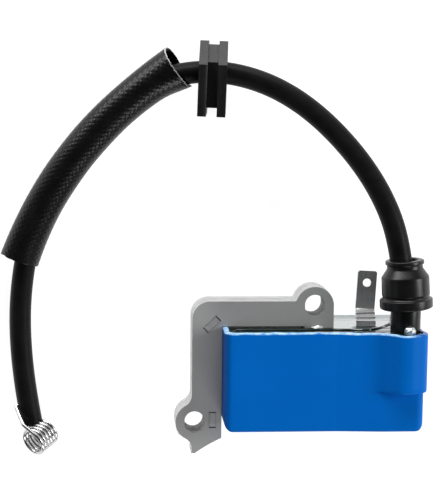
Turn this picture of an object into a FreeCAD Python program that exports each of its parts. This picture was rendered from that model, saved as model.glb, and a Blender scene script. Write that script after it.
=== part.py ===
import FreeCAD, Part
import math
import os

# Ignition coil for a small two-stroke engine, lying on its back face.
# Millimetres. +Z is the normal of the core's laminations, +Y points from the
# flywheel towards the open side of the coil case, and the cable lies in the
# same loose arch as in use. The origin is the middle of the module's
# footprint (core, case and boot, without the cable), on the face it lies on.

Vector = FreeCAD.Vector
X_AXIS = Vector(1, 0, 0)
Y_AXIS = Vector(0, 1, 0)
Z_AXIS = Vector(0, 0, 1)
TOUCH = 0.01

# ---- Module footprint ----
HALF_WIDTH = 30.55
HALF_DEPTH = 24.1

# ---- Laminated core ----
CORE_THICKNESS = 7.5
CORE_BACK = 8.25
CORE_FRONT = CORE_BACK + CORE_THICKNESS
CORE_MID = 0.5 * (CORE_BACK + CORE_FRONT)
LUG_R = 4.6
LUG_PITCH_X = 28.8
LUG_PITCH_Y = 28.44
LOWER_LUG = Vector(-HALF_WIDTH + LUG_R, -16.4, 0)
UPPER_LUG = LOWER_LUG + Vector(LUG_PITCH_X, LUG_PITCH_Y, 0)
SLOT_WIDTH = 4.8
SLOT_LENGTH = 5.3
OUTER_LEG_LEFT = -26.65
OUTER_LEG_RIGHT = -19.4
BAR_TOP = 13.15
BAR_BOTTOM = 7.05
CORE_CORNER_R = 4.3
LEG_WIDTH = 7.0
LEG_RIGHT = UPPER_LUG.x + LUG_R
LEG_LEFT = LEG_RIGHT - LEG_WIDTH
LEG_X = 0.5 * (LEG_LEFT + LEG_RIGHT)
LUG_FILLET_R = 3.0
TIP_NOTCH_R = 2.9
FLYWHEEL_R = 38.0
FLYWHEEL_CENTRE = Vector(-3.67, -54.99, 0)
LEG_END = -20.95
WEB_OVERLAP = 1.0
TIP_NOTCH_X = OUTER_LEG_LEFT - 2.8
# Pressed-in marks that lock the laminations together.
INTERLOCK_DEPTH = 0.35
UPPER_MARK = Vector(-21.9, 7.55, 0)
UPPER_MARK_SIZE = (4.4, 1.8)
UPPER_MARK_TURN = 45
LOWER_MARK = Vector(-21.6, -15.9, 0)
LOWER_MARK_SIZE = (1.7, 4.0)

# ---- Case ----
CASE_LEFT = -19.35
CASE_RIGHT = 28.25
CASE_BOTTOM = -16.95
CASE_RIM = 6.95
CASE_FRONT = 24.0
CASE_FRONT_STEP = 0.8
RAMP_START_X = 7.25
RAMP_END_X = 18.55
WALL = 1.3
CASE_EDGE_R = 2.0
CASE_BACK_EDGE_R = 1.0
CASE_CORNER_R = 1.4
TOWER_X = 23.5
TOWER_Z = 23.3
TOWER_R = 5.1
TOWER_BOTTOM = -7.25
SEAT_WALL_R = 4.4
RESIN_LEVEL = CASE_RIM - 0.35
CORE_GAP = 0.1

# ---- Cable and boot ----
CABLE_R = 2.65
CONDUCTOR_R = 0.7
CABLE_EXIT_Z = 20.0
BOOT_BASE = Vector(24.4, 9.75, CABLE_EXIT_Z)
SOCKET_X = 24.1
BOOT_TILT = 3.7
STEM_R = 3.6
STEM_BOTTOM = 4.85
FLANGE_R = 6.35
BOOT_BODY_R = 5.67
NECK_R = 4.28
RING_R = 4.57
# Route of the cable: from the socket through the boot, the grommet and the
# sleeve to the plug spring.
CABLE_ROUTE = [
    Vector(24.2, 2.4, 20.0),
    Vector(24.0, 24.0, 20.0),
    Vector(16.4, 44.1, 15.5),
    Vector(-1.4, 62.4, 10.6),
    Vector(-21.7, 68.7, 9.2),
    Vector(-40.5, 64.0, 7.2),
    Vector(-58.3, 44.4, 5.9),
    Vector(-66.8, 26.0, 4.7),
    Vector(-69.0, -0.6, 3.3),
    Vector(-65.6, -19.0, 2.75),
]
GROMMET_POINT = 4
CORNER_SHARE = 0.45
CONDUCTOR_START = 2.5

# ---- Grommet ----
GROMMET_FLANGE = 2.05
GROMMET_GROOVE = 2.5
GROMMET_BELOW_CABLE = 10.2
GROMMET_ABOVE_CABLE = 7.4
GROMMET_IN_FRONT = 9.6
GROMMET_BEHIND = 8.6
GROMMET_CHAMFER = 5.5
GROOVE_DEPTH = 2.0
GROOVE_DEPTH_TOP = 0.85
GROOVE_CHAMFER = 4.1
GROMMET_CLEARANCE = 0.05
GROMMET_BORE_TURN = 18

# ---- Heat sleeve ----
SLEEVE_R = 4.8
SLEEVE_WALL = 0.45
SLEEVE_ARC_R = 91.48
SLEEVE_ARC_CENTRE = Vector(18.07, -8.68, 6.87)
SLEEVE_START_ANGLE = 124.0
SLEEVE_END_ANGLE = 160.4
SLEEVE_TILT_NORMAL = Vector(-0.0304, -0.0340, 1.0)

# ---- Plug spring ----
WIRE_R = 0.45
SPRING_R = 3.2
SPRING_PITCH = 1.05
SPRING_TURNS = 5.125
SPRING_ARCS_PER_TURN = 8
SPRING_CENTRE = Vector(-63.62, -22.65, 4.7)
SPRING_AXIS = Vector(-0.60, -0.36, 0.70)
SPRING_LEG_ANGLE = 62.0
SPRING_LEG = [
    Vector(-67.45, -18.95, 7.2),
    Vector(-69.45, -15.0, 3.6),
    Vector(-66.6, -14.2, 2.9),
]
SPRING_RUN_OUT = 1.0
SPRING_LEG_RADII = [6.0, 1.6, 0.9]

# ---- Stop terminal ----
TAB_WIDTH = 4.7
TAB_THICKNESS = 0.8
TAB_X = 15.35
TAB_LEAN = 3.0
TAB_TOP = 20.0
TAB_HOLE_R = 1.0
TAB_HOLE_BELOW_TOP = 2.9
TAB_BLADE_Z = 12.0
TAB_STEM_Z = 15.0
TAB_JOGGLE_TOP = 10.7
TAB_JOGGLE_BOTTOM = 8.0
TAB_FOOT_Y = 1.6
TAB_BEND_R = 0.7
TAB_CORNER = 0.35

# ---- Solder ----
BEAD_R = 1.45
BEAD_PLACE = Vector(24.2, 7.3, 25.15)
LEG_JOINT_RADII = (1.5, 0.75, 0.8)
LEG_JOINT_PLACE = Vector(3.4, RESIN_LEVEL + 0.1, 17.1)

# ---- Coil assembly around the inner leg ----
BOBBIN_WALL = 0.8
BOBBIN_BOTTOM = CASE_BOTTOM + WALL + 0.1
BOBBIN_TOP = 5.0
BOBBIN_SPLIT = -4.6
PRIMARY_FLANGE = (14.4, 14.9)
PRIMARY_BOBBIN = (8.9, 9.4)
LEG_HOLE = (7.3, 7.8)
PRIMARY_WINDING = (13.4, 13.9)
CHARGE_WINDING = (12.8, 13.3)
SECONDARY_BORE = (14.8, 15.3)
SECONDARY_BOBBIN = (16.4, 16.9)
SECONDARY_FLANGE = (20.0, 20.5)
SECONDARY_WINDING = (19.0, 19.5)
SECONDARY_TOP = -4.2
CHAMBERS = 5
WINDING_CORNER_R = 2.0
# Square posts in the bobbin's top flange.
POST_HALF = 0.4
POST_OUT = 5.6
POST_PLACES = [(LEG_X - POST_OUT, 5.4), (LEG_X + POST_OUT, 5.4), (LEG_X + POST_OUT, 18.6)]
POST_FOOT = BOBBIN_TOP - 0.6
POST_TOP = BOBBIN_TOP + 1.1

# ---- Circuit ----
BOARD_LEFT = 14.5
BOARD_RIGHT = 26.4
BOARD_BOTTOM = -15.2
BOARD_TOP = 5.6
BOARD_Z = 5.6
BOARD_THICKNESS = 1.2
BOARD_FACE = BOARD_Z + BOARD_THICKNESS
THYRISTOR_R = 2.4
THYRISTOR_HEIGHT = 4.6
THYRISTOR_PLACE = Vector(17.6, -9.5, BOARD_FACE + 1.0)
THYRISTOR_FLAT = 1.6
THYRISTOR_LEG_PITCH = 1.27
CHIP_BODY = (21.2, 25.1, -5.0, -0.1)
CHIP_LEG_ENDS = (20.3, 26.0)
CHIP_LEGS = (-4.45, -3.18, -1.91, -0.64)
DIODE_R = 1.2
DIODE_ROWS = (-13.4, -6.2)
RESISTOR_ROWS = (-14.6, -6.5, -2.6)
CERAMIC_ROWS = (-11.7, -9.3)
CAPACITOR_BODY = (-17.4, -6.9, -12.6, 2.4, 6.4, 17.6)

# ---- Wires in the case ----
HOOKUP_R = 0.25
HOOKUP_BEND = 0.6
HOOKUP_HIGH = BOBBIN_TOP + 0.55
HOOKUP_LOW = BOBBIN_TOP + 0.4
LINK_R = 0.3
LINK_Y = -5.2
PIN_HEAD_R = 1.8
PIN_SHANK_R = 0.6
PIN_SHANK = 9.4
PIN_BACK = 8.0
STRAP_THICKNESS = 0.3
STRAP_BACK = 8.6
STRAP_FRONT = 11.4
STRAP_END = 19.0


def box(x0, x1, y0, y1, z0, z1):
    return Part.makeBox(x1 - x0, y1 - y0, z1 - z0, Vector(x0, y0, z0))


def cylinder(radius, length, base, axis):
    return Part.makeCylinder(radius, length, base, axis)


def prism(points, direction):
    """A straight extrusion of a closed polygon."""
    face = Part.Face(Part.makePolygon(points + [points[0]]))
    return face.extrude(direction)


def merged(shapes):
    """One solid from several that overlap."""
    whole = shapes[0].multiFuse(shapes[1:]) if len(shapes) > 1 else shapes[0]
    return whole.removeSplitter()


def rounded_path(points, radii):
    """Straight runs joined by tangent arcs, one radius for each inner point."""
    edges = []
    start = points[0]
    for before, corner, after, radius in zip(points, points[1:], points[2:], radii):
        back = (before - corner).normalize()
        ahead = (after - corner).normalize()
        half_turn = 0.5 * (math.pi - back.getAngle(ahead))
        reach = radius * math.tan(half_turn)
        middle = (back + ahead).normalize()
        arc_middle = corner + middle * (radius / math.cos(half_turn) - radius)
        arc_start = corner + back * reach
        arc_end = corner + ahead * reach
        edges.append(Part.LineSegment(start, arc_start).toShape())
        edges.append(Part.Arc(arc_start, arc_middle, arc_end).toShape())
        start = arc_end
    edges.append(Part.LineSegment(start, points[-1]).toShape())
    return Part.Wire(edges)


def cable_radii(points):
    """The largest arcs that the runs beside each point leave room for."""
    radii = []
    for before, corner, after in zip(points, points[1:], points[2:]):
        back = before - corner
        ahead = after - corner
        half_turn = 0.5 * (math.pi - back.getAngle(ahead))
        shorter = min(back.Length, ahead.Length)
        radii.append(CORNER_SHARE * shorter / math.tan(half_turn))
    return radii


def round_tube(path, start, direction, radius):
    """A round bar along a path."""
    circle = Part.Wire(Part.makeCircle(radius, start, direction))
    return path.makePipeShell([circle], True, False)


# ---------------------------------------------------------------- core

def core_outline():
    """Outer leg with its pole shoe, top bar, and inner leg, before the lugs."""
    points = [
        Vector(OUTER_LEG_LEFT, -HALF_DEPTH, 0),
        Vector(OUTER_LEG_LEFT, BAR_TOP, 0),
        Vector(LEG_RIGHT, BAR_TOP, 0),
        Vector(LEG_RIGHT, LEG_END, 0),
        Vector(LEG_LEFT, LEG_END, 0),
        Vector(LEG_LEFT, BAR_BOTTOM, 0),
        Vector(OUTER_LEG_RIGHT, BAR_BOTTOM, 0),
        Vector(OUTER_LEG_RIGHT, -HALF_DEPTH, 0),
    ]
    return prism(points, Vector(0, 0, CORE_THICKNESS))


def lug_fillet():
    """Web that blends the outer leg into the lower lug, hollow to a radius."""
    reach_x = OUTER_LEG_LEFT - LUG_FILLET_R
    offset_x = LOWER_LUG.x - reach_x
    reach_y = LOWER_LUG.y + math.sqrt((LUG_R + LUG_FILLET_R) ** 2 - offset_x ** 2)
    centre = Vector(reach_x, reach_y, 0)
    touch = LOWER_LUG + (centre - LOWER_LUG).normalize() * LUG_R
    web = prism(
        [LOWER_LUG, touch, Vector(touch.x, reach_y, 0), Vector(OUTER_LEG_LEFT, reach_y, 0),
         Vector(OUTER_LEG_LEFT + WEB_OVERLAP, reach_y, 0),
         Vector(OUTER_LEG_LEFT + WEB_OVERLAP, LOWER_LUG.y, 0)],
        Vector(0, 0, CORE_THICKNESS))
    return web.cut(cylinder(LUG_FILLET_R, CORE_THICKNESS, centre, Z_AXIS))


def tip_notch():
    """Round notch between the lower lug and the pole shoe's tip."""
    offset_x = LOWER_LUG.x - TIP_NOTCH_X
    centre_y = LOWER_LUG.y - math.sqrt((LUG_R + TIP_NOTCH_R) ** 2 - offset_x ** 2)
    centre = Vector(TIP_NOTCH_X, centre_y, 0)
    touch = LOWER_LUG + (centre - LOWER_LUG).normalize() * LUG_R
    web = prism(
        [LOWER_LUG, touch, Vector(touch.x, -HALF_DEPTH, 0),
         Vector(OUTER_LEG_LEFT + WEB_OVERLAP, -HALF_DEPTH, 0)],
        Vector(0, 0, CORE_THICKNESS))
    return web.cut(cylinder(TIP_NOTCH_R, CORE_THICKNESS, centre, Z_AXIS)), centre


def mounting_slot(centre):
    """Slot with round ends, longer along Y."""
    half_straight = 0.5 * (SLOT_LENGTH - SLOT_WIDTH)
    half_width = 0.5 * SLOT_WIDTH
    middle = box(centre.x - half_width, centre.x + half_width,
                 centre.y - half_straight, centre.y + half_straight, 0, CORE_THICKNESS)
    ends = [cylinder(half_width, CORE_THICKNESS, centre + Vector(0, side * half_straight, 0), Z_AXIS)
            for side in (-1, 1)]
    return merged([middle] + ends)


def interlock(centre, size, angle):
    """Pressed-in mark that locks the laminations together."""
    length, width = size
    mark = box(-0.5 * length, 0.5 * length, -0.5 * width, 0.5 * width,
               CORE_THICKNESS - INTERLOCK_DEPTH, CORE_THICKNESS)
    mark.rotate(Vector(0, 0, 0), Z_AXIS, angle)
    mark.translate(centre)
    return mark


def upright_edges(solid, x, y):
    """Edges along Z that stand at one place."""
    return [edge for edge in solid.Edges
            if edge.BoundBox.XLength < TOUCH and edge.BoundBox.YLength < TOUCH
            and abs(edge.BoundBox.XMin - x) < TOUCH and abs(edge.BoundBox.YMin - y) < TOUCH]


def laminated_core():
    notch_web, notch_centre = tip_notch()
    core = merged([core_outline(),
                   cylinder(LUG_R, CORE_THICKNESS, LOWER_LUG, Z_AXIS),
                   cylinder(LUG_R, CORE_THICKNESS, UPPER_LUG, Z_AXIS),
                   lug_fillet(), notch_web])
    core = core.makeFillet(CORE_CORNER_R, upright_edges(core, OUTER_LEG_LEFT, BAR_TOP))
    flywheel = cylinder(FLYWHEEL_R, CORE_THICKNESS, FLYWHEEL_CENTRE, Z_AXIS)
    notch = cylinder(TIP_NOTCH_R, CORE_THICKNESS, notch_centre, Z_AXIS)
    core = core.cut([flywheel, notch, mounting_slot(LOWER_LUG), mounting_slot(UPPER_LUG),
                     interlock(UPPER_MARK, UPPER_MARK_SIZE, UPPER_MARK_TURN),
                     interlock(LOWER_MARK, LOWER_MARK_SIZE, 0)])
    core.translate(Vector(0, 0, CORE_BACK))
    return core


# ---------------------------------------------------------------- case

def case_section(inset):
    """Cross-section of the case, square to Y, moved in by a wall thickness."""
    left = CASE_LEFT + inset
    right = CASE_RIGHT - inset
    front = CASE_FRONT - inset
    raised = front + CASE_FRONT_STEP
    return [Vector(left, 0, inset), Vector(right, 0, inset), Vector(right, 0, raised),
            Vector(RAMP_END_X, 0, raised), Vector(RAMP_START_X, 0, front), Vector(left, 0, front)]


def side_edges(block, inset):
    """Edges along Y at the left and right sides: those at the front, then those at the back."""
    sides = (CASE_LEFT + inset, CASE_RIGHT - inset)
    edges = [edge for edge in block.Edges
             if edge.BoundBox.YLength > 1.0
             and min(abs(edge.BoundBox.Center.x - side) for side in sides) < TOUCH]
    middle = 0.5 * CASE_FRONT
    front = [edge for edge in edges if edge.BoundBox.Center.z > middle]
    back = [edge for edge in edges if edge.BoundBox.Center.z < middle]
    return front, back


def case_block(inset, bottom, top):
    """The case's block, moved in by a wall thickness, with its edges and bottom corners rounded."""
    block = prism([p + Vector(0, bottom, 0) for p in case_section(inset)],
                  Vector(0, top - bottom, 0))
    block = block.makeFillet(CASE_EDGE_R - 0.5 * inset, side_edges(block, inset)[0])
    block = block.makeFillet(CASE_BACK_EDGE_R - 0.5 * inset, side_edges(block, inset)[1])
    bounds = box(CASE_LEFT + inset, CASE_RIGHT - inset, bottom, top, 0, 2 * CASE_FRONT)
    corners = (upright_edges(bounds, CASE_LEFT + inset, bottom)
               + upright_edges(bounds, CASE_RIGHT - inset, bottom))
    return block.common(bounds.makeFillet(CASE_CORNER_R - inset, corners))


def tower(inset, bottom, top):
    """Round bulge for the cable socket, open at the rim."""
    length = top - bottom
    bulge = cylinder(TOWER_R - inset, length, Vector(TOWER_X, bottom, TOWER_Z), Y_AXIS)
    seat_r = SEAT_WALL_R if inset == 0 else STEM_R
    seat = cylinder(seat_r, length, Vector(SOCKET_X, bottom, CABLE_EXIT_Z), Y_AXIS)
    return merged([bulge, seat])


def cavity():
    """Inside of the case, filled by the coils, the circuit and the resin."""
    return merged([case_block(WALL, CASE_BOTTOM + WALL, CASE_RIM),
                   tower(WALL, TOWER_BOTTOM + WALL, CASE_RIM)])


def leg_window():
    """Way through the case for the core's inner leg."""
    return box(LEG_LEFT - CORE_GAP, LEG_RIGHT + CORE_GAP, CASE_BOTTOM - 1, CASE_RIM,
               CORE_BACK - CORE_GAP, CORE_FRONT + CORE_GAP)


def coil_case():
    outside = merged([case_block(0, CASE_BOTTOM, CASE_RIM),
                      tower(0, TOWER_BOTTOM, CASE_RIM)])
    return outside.cut([cavity(), leg_window()])


# ---------------------------------------------------------------- coils

def leg_sleeve(size, bottom, top, corner_r=0.0):
    """Rectangular block around the inner leg, with rounded long edges."""
    width, depth = size
    block = box(LEG_X - 0.5 * width, LEG_X + 0.5 * width, bottom, top,
                CORE_MID - 0.5 * depth, CORE_MID + 0.5 * depth)
    if corner_r > 0:
        edges = [edge for edge in block.Edges if edge.BoundBox.YLength > top - bottom - 0.01]
        block = block.makeFillet(corner_r, edges)
    return block


def primary_bobbin():
    flanges = [(BOBBIN_BOTTOM, BOBBIN_BOTTOM + BOBBIN_WALL),
               (BOBBIN_SPLIT, BOBBIN_SPLIT + BOBBIN_WALL),
               (BOBBIN_TOP - BOBBIN_WALL, BOBBIN_TOP)]
    solids = [leg_sleeve(PRIMARY_BOBBIN, BOBBIN_BOTTOM, BOBBIN_TOP)]
    solids += [leg_sleeve(PRIMARY_FLANGE, low, high, 0.8) for low, high in flanges]
    return merged(solids).cut(leg_sleeve(LEG_HOLE, BOBBIN_BOTTOM - 1, BOBBIN_TOP + 1))


def winding(inner, outer, bottom, top):
    """Layers of wire round a bobbin, as one block."""
    block = leg_sleeve(outer, bottom, top, WINDING_CORNER_R)
    return block.cut(leg_sleeve(inner, bottom - 1, top + 1))


def primary_winding():
    return winding(PRIMARY_BOBBIN, PRIMARY_WINDING, BOBBIN_BOTTOM + BOBBIN_WALL, BOBBIN_SPLIT)


def charge_winding():
    return winding(PRIMARY_BOBBIN, CHARGE_WINDING, BOBBIN_SPLIT + BOBBIN_WALL,
                   BOBBIN_TOP - BOBBIN_WALL)


def chamber_pitch():
    return (SECONDARY_TOP - BOBBIN_BOTTOM - BOBBIN_WALL) / CHAMBERS


def secondary_bobbin():
    solids = [leg_sleeve(SECONDARY_BOBBIN, BOBBIN_BOTTOM, SECONDARY_TOP, 1.2)]
    for index in range(CHAMBERS + 1):
        low = BOBBIN_BOTTOM + index * chamber_pitch()
        solids.append(leg_sleeve(SECONDARY_FLANGE, low, low + BOBBIN_WALL, 1.5))
    return merged(solids).cut(leg_sleeve(SECONDARY_BORE, BOBBIN_BOTTOM - 1, SECONDARY_TOP + 1, 0.9))


def secondary_winding():
    sections = []
    for index in range(CHAMBERS):
        low = BOBBIN_BOTTOM + index * chamber_pitch() + BOBBIN_WALL
        high = BOBBIN_BOTTOM + (index + 1) * chamber_pitch()
        outer = leg_sleeve(SECONDARY_WINDING, low, high, WINDING_CORNER_R)
        sections.append(outer.cut(leg_sleeve(SECONDARY_BOBBIN, low - 1, high + 1, 1.2)))
    return Part.makeCompound(sections)


def winding_pins():
    """Square posts in the bobbin's top flange that the wire ends wrap round."""
    posts = [box(x - POST_HALF, x + POST_HALF, POST_FOOT, POST_TOP, z - POST_HALF, z + POST_HALF)
             for x, z in POST_PLACES]
    return Part.makeCompound(posts)


# ---------------------------------------------------------------- circuit

def circuit_board():
    return box(BOARD_LEFT, BOARD_RIGHT, BOARD_BOTTOM, BOARD_TOP, BOARD_Z, BOARD_FACE)


def thyristor():
    """Plastic transistor case with one flat side, on three legs."""
    x, y = THYRISTOR_PLACE.x, THYRISTOR_PLACE.y
    body = cylinder(THYRISTOR_R, THYRISTOR_HEIGHT, THYRISTOR_PLACE, Z_AXIS)
    body = body.cut(box(x - 3, x + 3, y - 3, y - THYRISTOR_FLAT, BOARD_FACE, BOARD_FACE + 6))
    legs = [box(x + side * THYRISTOR_LEG_PITCH - 0.25, x + side * THYRISTOR_LEG_PITCH + 0.25,
                y - 0.25, y + 0.25, BOARD_FACE, THYRISTOR_PLACE.z)
            for side in (-1, 0, 1)]
    return merged([body] + legs)


def trigger_chip():
    """Small eight-legged package."""
    body = box(*CHIP_BODY, BOARD_FACE + 0.15, BOARD_FACE + 1.6)
    legs = [box(*CHIP_LEG_ENDS, y - 0.2, y + 0.2, BOARD_FACE, BOARD_FACE + 0.6) for y in CHIP_LEGS]
    return merged([body] + legs)


def diodes():
    """Axial rectifiers lying side by side."""
    height = BOARD_FACE + DIODE_R
    solids = []
    for y in DIODE_ROWS:
        body = cylinder(DIODE_R, 4.4, Vector(19.0, y, height), X_AXIS)
        lead = cylinder(0.35, 7.6, Vector(17.4, y, height), X_AXIS)
        solids.append(merged([body, lead]))
    return Part.makeCompound(solids)


def resistors():
    """Flat chips soldered to the board."""
    return Part.makeCompound([box(15.0, 16.6, y, y + 3.1, BOARD_FACE, BOARD_FACE + 0.6)
                              for y in RESISTOR_ROWS])


def ceramic_capacitors():
    """Flat ceramic chips soldered to the board."""
    return Part.makeCompound([box(22.4, 25.6, y, y + 1.6, BOARD_FACE, BOARD_FACE + 1.1)
                              for y in CERAMIC_ROWS])


def storage_capacitor():
    """Film capacitor that the spark energy is kept in, beside the coils."""
    body = box(*CAPACITOR_BODY)
    edges = [edge for edge in body.Edges if edge.BoundBox.YLength > 10]
    return body.makeFillet(1.0, edges)


def wire_along(points, radius, bend):
    """Round wire through points, bent to one radius."""
    path = rounded_path(points, [bend] * (len(points) - 2))
    return round_tube(path, points[0], points[1] - points[0], radius)


def hookup_wires():
    """Insulated wires from the capacitor and the pins to the board."""
    post_side = LEG_X + POST_OUT + POST_HALF
    from_capacitor = [Vector(-9.0, 2.4, 8.2), Vector(-9.0, HOOKUP_LOW, 8.2), Vector(-9.0, HOOKUP_LOW, 2.8),
                      Vector(15.6, HOOKUP_LOW, 2.8), Vector(15.6, HOOKUP_LOW, 4.6),
                      Vector(15.6, 3.4, 4.6), Vector(15.6, 3.4, BOARD_Z)]
    from_back_post = [Vector(post_side, HOOKUP_HIGH, 5.4), Vector(13.2, HOOKUP_HIGH, 5.4),
                      Vector(13.2, 3.0, 5.4), Vector(13.2, 3.0, 6.2), Vector(BOARD_LEFT, 3.0, 6.2)]
    from_front_post = [Vector(post_side, HOOKUP_HIGH, 18.6), Vector(17.4, HOOKUP_HIGH, 18.6),
                       Vector(17.4, -0.5, 18.6), Vector(17.4, -0.5, BOARD_FACE)]
    return Part.makeCompound([wire_along(points, HOOKUP_R, HOOKUP_BEND)
                              for points in (from_capacitor, from_back_post, from_front_post)])


def high_tension_link():
    """Bare wire from the last secondary section to the cable's contact pin."""
    start_z = CABLE_EXIT_Z - 1.5
    points = [Vector(LEG_X + 0.5 * SECONDARY_FLANGE[0], LINK_Y, start_z),
              Vector(18.6, LINK_Y, start_z),
              Vector(21.0, LINK_Y, CABLE_EXIT_Z),
              Vector(SOCKET_X - PIN_HEAD_R, LINK_Y, CABLE_EXIT_Z)]
    return wire_along(points, LINK_R, 0.8)


def ground_strap():
    """Strip from the board to the inner leg, which earths the circuit."""
    low = BOBBIN_TOP + 0.3
    high = low + STRAP_THICKNESS
    inner = STRAP_END - STRAP_THICKNESS
    foot_y = 3.4
    across = box(LEG_RIGHT, STRAP_END, low, high, STRAP_BACK, STRAP_FRONT)
    foot = box(inner, STRAP_END, foot_y, high, STRAP_BACK, STRAP_FRONT)
    pad = box(inner, STRAP_END, foot_y, foot_y + 1, BOARD_FACE, STRAP_FRONT)
    return merged([across, foot, pad])


# ---------------------------------------------------------------- terminals

def tab_outline():
    """Side view of the stop terminal: blade, offset bend, stem and a foot bent to the board."""
    half = 0.5 * TAB_THICKNESS
    centre = [(TAB_TOP, TAB_BLADE_Z), (TAB_JOGGLE_TOP, TAB_BLADE_Z),
              (TAB_JOGGLE_BOTTOM, TAB_STEM_Z), (TAB_FOOT_Y, TAB_STEM_Z)]
    back = [Vector(0, y, z - half) for y, z in centre]
    front = [Vector(0, y, z + half) for y, z in centre]
    front[-1] = Vector(0, TAB_FOOT_Y - TAB_THICKNESS, TAB_STEM_Z + half)
    foot = [Vector(0, TAB_FOOT_Y - TAB_THICKNESS, BOARD_FACE), Vector(0, TAB_FOOT_Y, BOARD_FACE)]
    return front + foot + back[::-1]


def stop_terminal():
    """Spade for the stop wire: a blade, an offset bend and a soldered foot."""
    left = Vector(TAB_X - 0.5 * TAB_WIDTH, 0, 0)
    tab = prism([p + left for p in tab_outline()], Vector(TAB_WIDTH, 0, 0))
    bends = [edge for edge in tab.Edges
             if edge.BoundBox.XLength > TAB_WIDTH - TOUCH
             and TAB_JOGGLE_BOTTOM - 1 < edge.BoundBox.YMin < TAB_JOGGLE_TOP + 1]
    tab = tab.makeFillet(TAB_BEND_R, bends)
    hole_place = Vector(TAB_X, TAB_TOP - TAB_HOLE_BELOW_TOP, TAB_BLADE_Z - TAB_THICKNESS)
    tab = tab.cut(cylinder(TAB_HOLE_R, 2 * TAB_THICKNESS, hole_place, Z_AXIS))
    top_corners = [edge for edge in tab.Edges
                   if edge.BoundBox.ZLength > 0.5 * TAB_THICKNESS
                   and edge.BoundBox.XLength < TOUCH and edge.BoundBox.YMin > TAB_TOP - TOUCH]
    tab = tab.makeChamfer(TAB_CORNER, top_corners)
    tab.rotate(Vector(TAB_X, RESIN_LEVEL, 0), Z_AXIS, -TAB_LEAN)
    return tab


def solder_joints():
    """Bead in front of the boot and a flat joint beside the inner leg."""
    bead = Part.makeSphere(BEAD_R, BEAD_PLACE)
    shape = FreeCAD.Matrix()
    shape.scale(*LEG_JOINT_RADII)
    joint = Part.makeSphere(1.0, Vector(0, 0, 0)).transformGeometry(shape)
    joint.translate(LEG_JOINT_PLACE)
    return Part.makeCompound([bead, joint])


# ---------------------------------------------------------------- cable end in the case

def cable_start_direction():
    return (CABLE_ROUTE[1] - CABLE_ROUTE[0]).normalize()


def boot_axis():
    tilt = math.radians(BOOT_TILT)
    return Vector(-math.sin(tilt), math.cos(tilt), 0)


def strain_relief_boot(cable):
    """Rubber boot: stem, flange, body, shoulder, neck and top ring."""
    profile = [(0, 2.5), (FLANGE_R - 0.4, 2.5), (FLANGE_R, 2.9), (FLANGE_R, 4.5),
               (FLANGE_R - 0.4, 4.9), (BOOT_BODY_R, 4.9), (BOOT_BODY_R, 10.2), (NECK_R, 12.2),
               (NECK_R, 13.0), (RING_R, 13.2), (RING_R, 13.8), (RING_R - 0.3, 14.105), (0, 14.105)]
    face = Part.Face(Part.makePolygon([Vector(r, s, 0) for r, s in profile + profile[:1]]))
    boot = face.revolve(Vector(0, 0, 0), Y_AXIS, 360)
    boot.rotate(Vector(0, 0, 0), Z_AXIS, BOOT_TILT)
    boot.translate(BOOT_BASE)
    stem_length = BOOT_BASE.y + 4.0 - STEM_BOTTOM
    stem = cylinder(STEM_R, stem_length, Vector(SOCKET_X, STEM_BOTTOM, CABLE_EXIT_Z), Y_AXIS)
    return merged([boot, stem]).cut(cable)


def cable_socket(cable, pin, link):
    """Moulded cup that the cable's end stands in, open at its foot."""
    foot = Vector(SOCKET_X, TOWER_BOTTOM + WALL, CABLE_EXIT_Z)
    cup = cylinder(STEM_R - 0.1, STEM_BOTTOM - foot.y, foot, Y_AXIS)
    hollow = cylinder(2.0, CABLE_ROUTE[0].y - 1.6 - foot.y, foot, Y_AXIS)
    return cup.cut([cable, hollow, pin, link])


def contact_pin():
    """Pointed pin that runs into the end of the cable's conductor."""
    along = cable_start_direction()
    foot = CABLE_ROUTE[0] - along * PIN_BACK
    head = cylinder(PIN_HEAD_R, 1.0, foot, along)
    shank = cylinder(PIN_SHANK_R, PIN_SHANK, foot, along)
    point = Part.makeCone(PIN_SHANK_R, 0.1, 1.0, foot + along * PIN_SHANK, along)
    return merged([head, shank, point])


# ---------------------------------------------------------------- cable

def cable_solid():
    """The cable as one bar, and its length."""
    path = rounded_path(CABLE_ROUTE, cable_radii(CABLE_ROUTE))
    bar = round_tube(path, CABLE_ROUTE[0], cable_start_direction(), CABLE_R)
    return bar, path.Length


def conductor_solid():
    """Core wire, which starts a little way inside the cable's end."""
    first = CABLE_ROUTE[0] + cable_start_direction() * CONDUCTOR_START
    path = rounded_path([first] + CABLE_ROUTE[1:], cable_radii(CABLE_ROUTE))
    return round_tube(path, first, cable_start_direction(), CONDUCTOR_R)


def grommet_pivot():
    """Centre and normal of the cable's arc where the grommet sits."""
    before, corner, after = CABLE_ROUTE[GROMMET_POINT - 1:GROMMET_POINT + 2]
    back = (before - corner).normalize()
    ahead = (after - corner).normalize()
    radius = cable_radii(CABLE_ROUTE)[GROMMET_POINT - 1]
    half_turn = 0.5 * (math.pi - back.getAngle(ahead))
    centre = corner + (back + ahead).normalize() * (radius / math.cos(half_turn))
    return centre, ahead.cross(back).normalize(), radius


def grommet_frame():
    """Centre of the grommet's hole, with its directions along the cable, up and to the front."""
    centre, normal, radius = grommet_pivot()
    out = (CABLE_ROUTE[GROMMET_POINT] - centre).normalize()
    along = out.cross(normal)
    up = (Y_AXIS - along * along.y).normalize()
    return centre + out * radius, along, up, along.cross(up)


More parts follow.
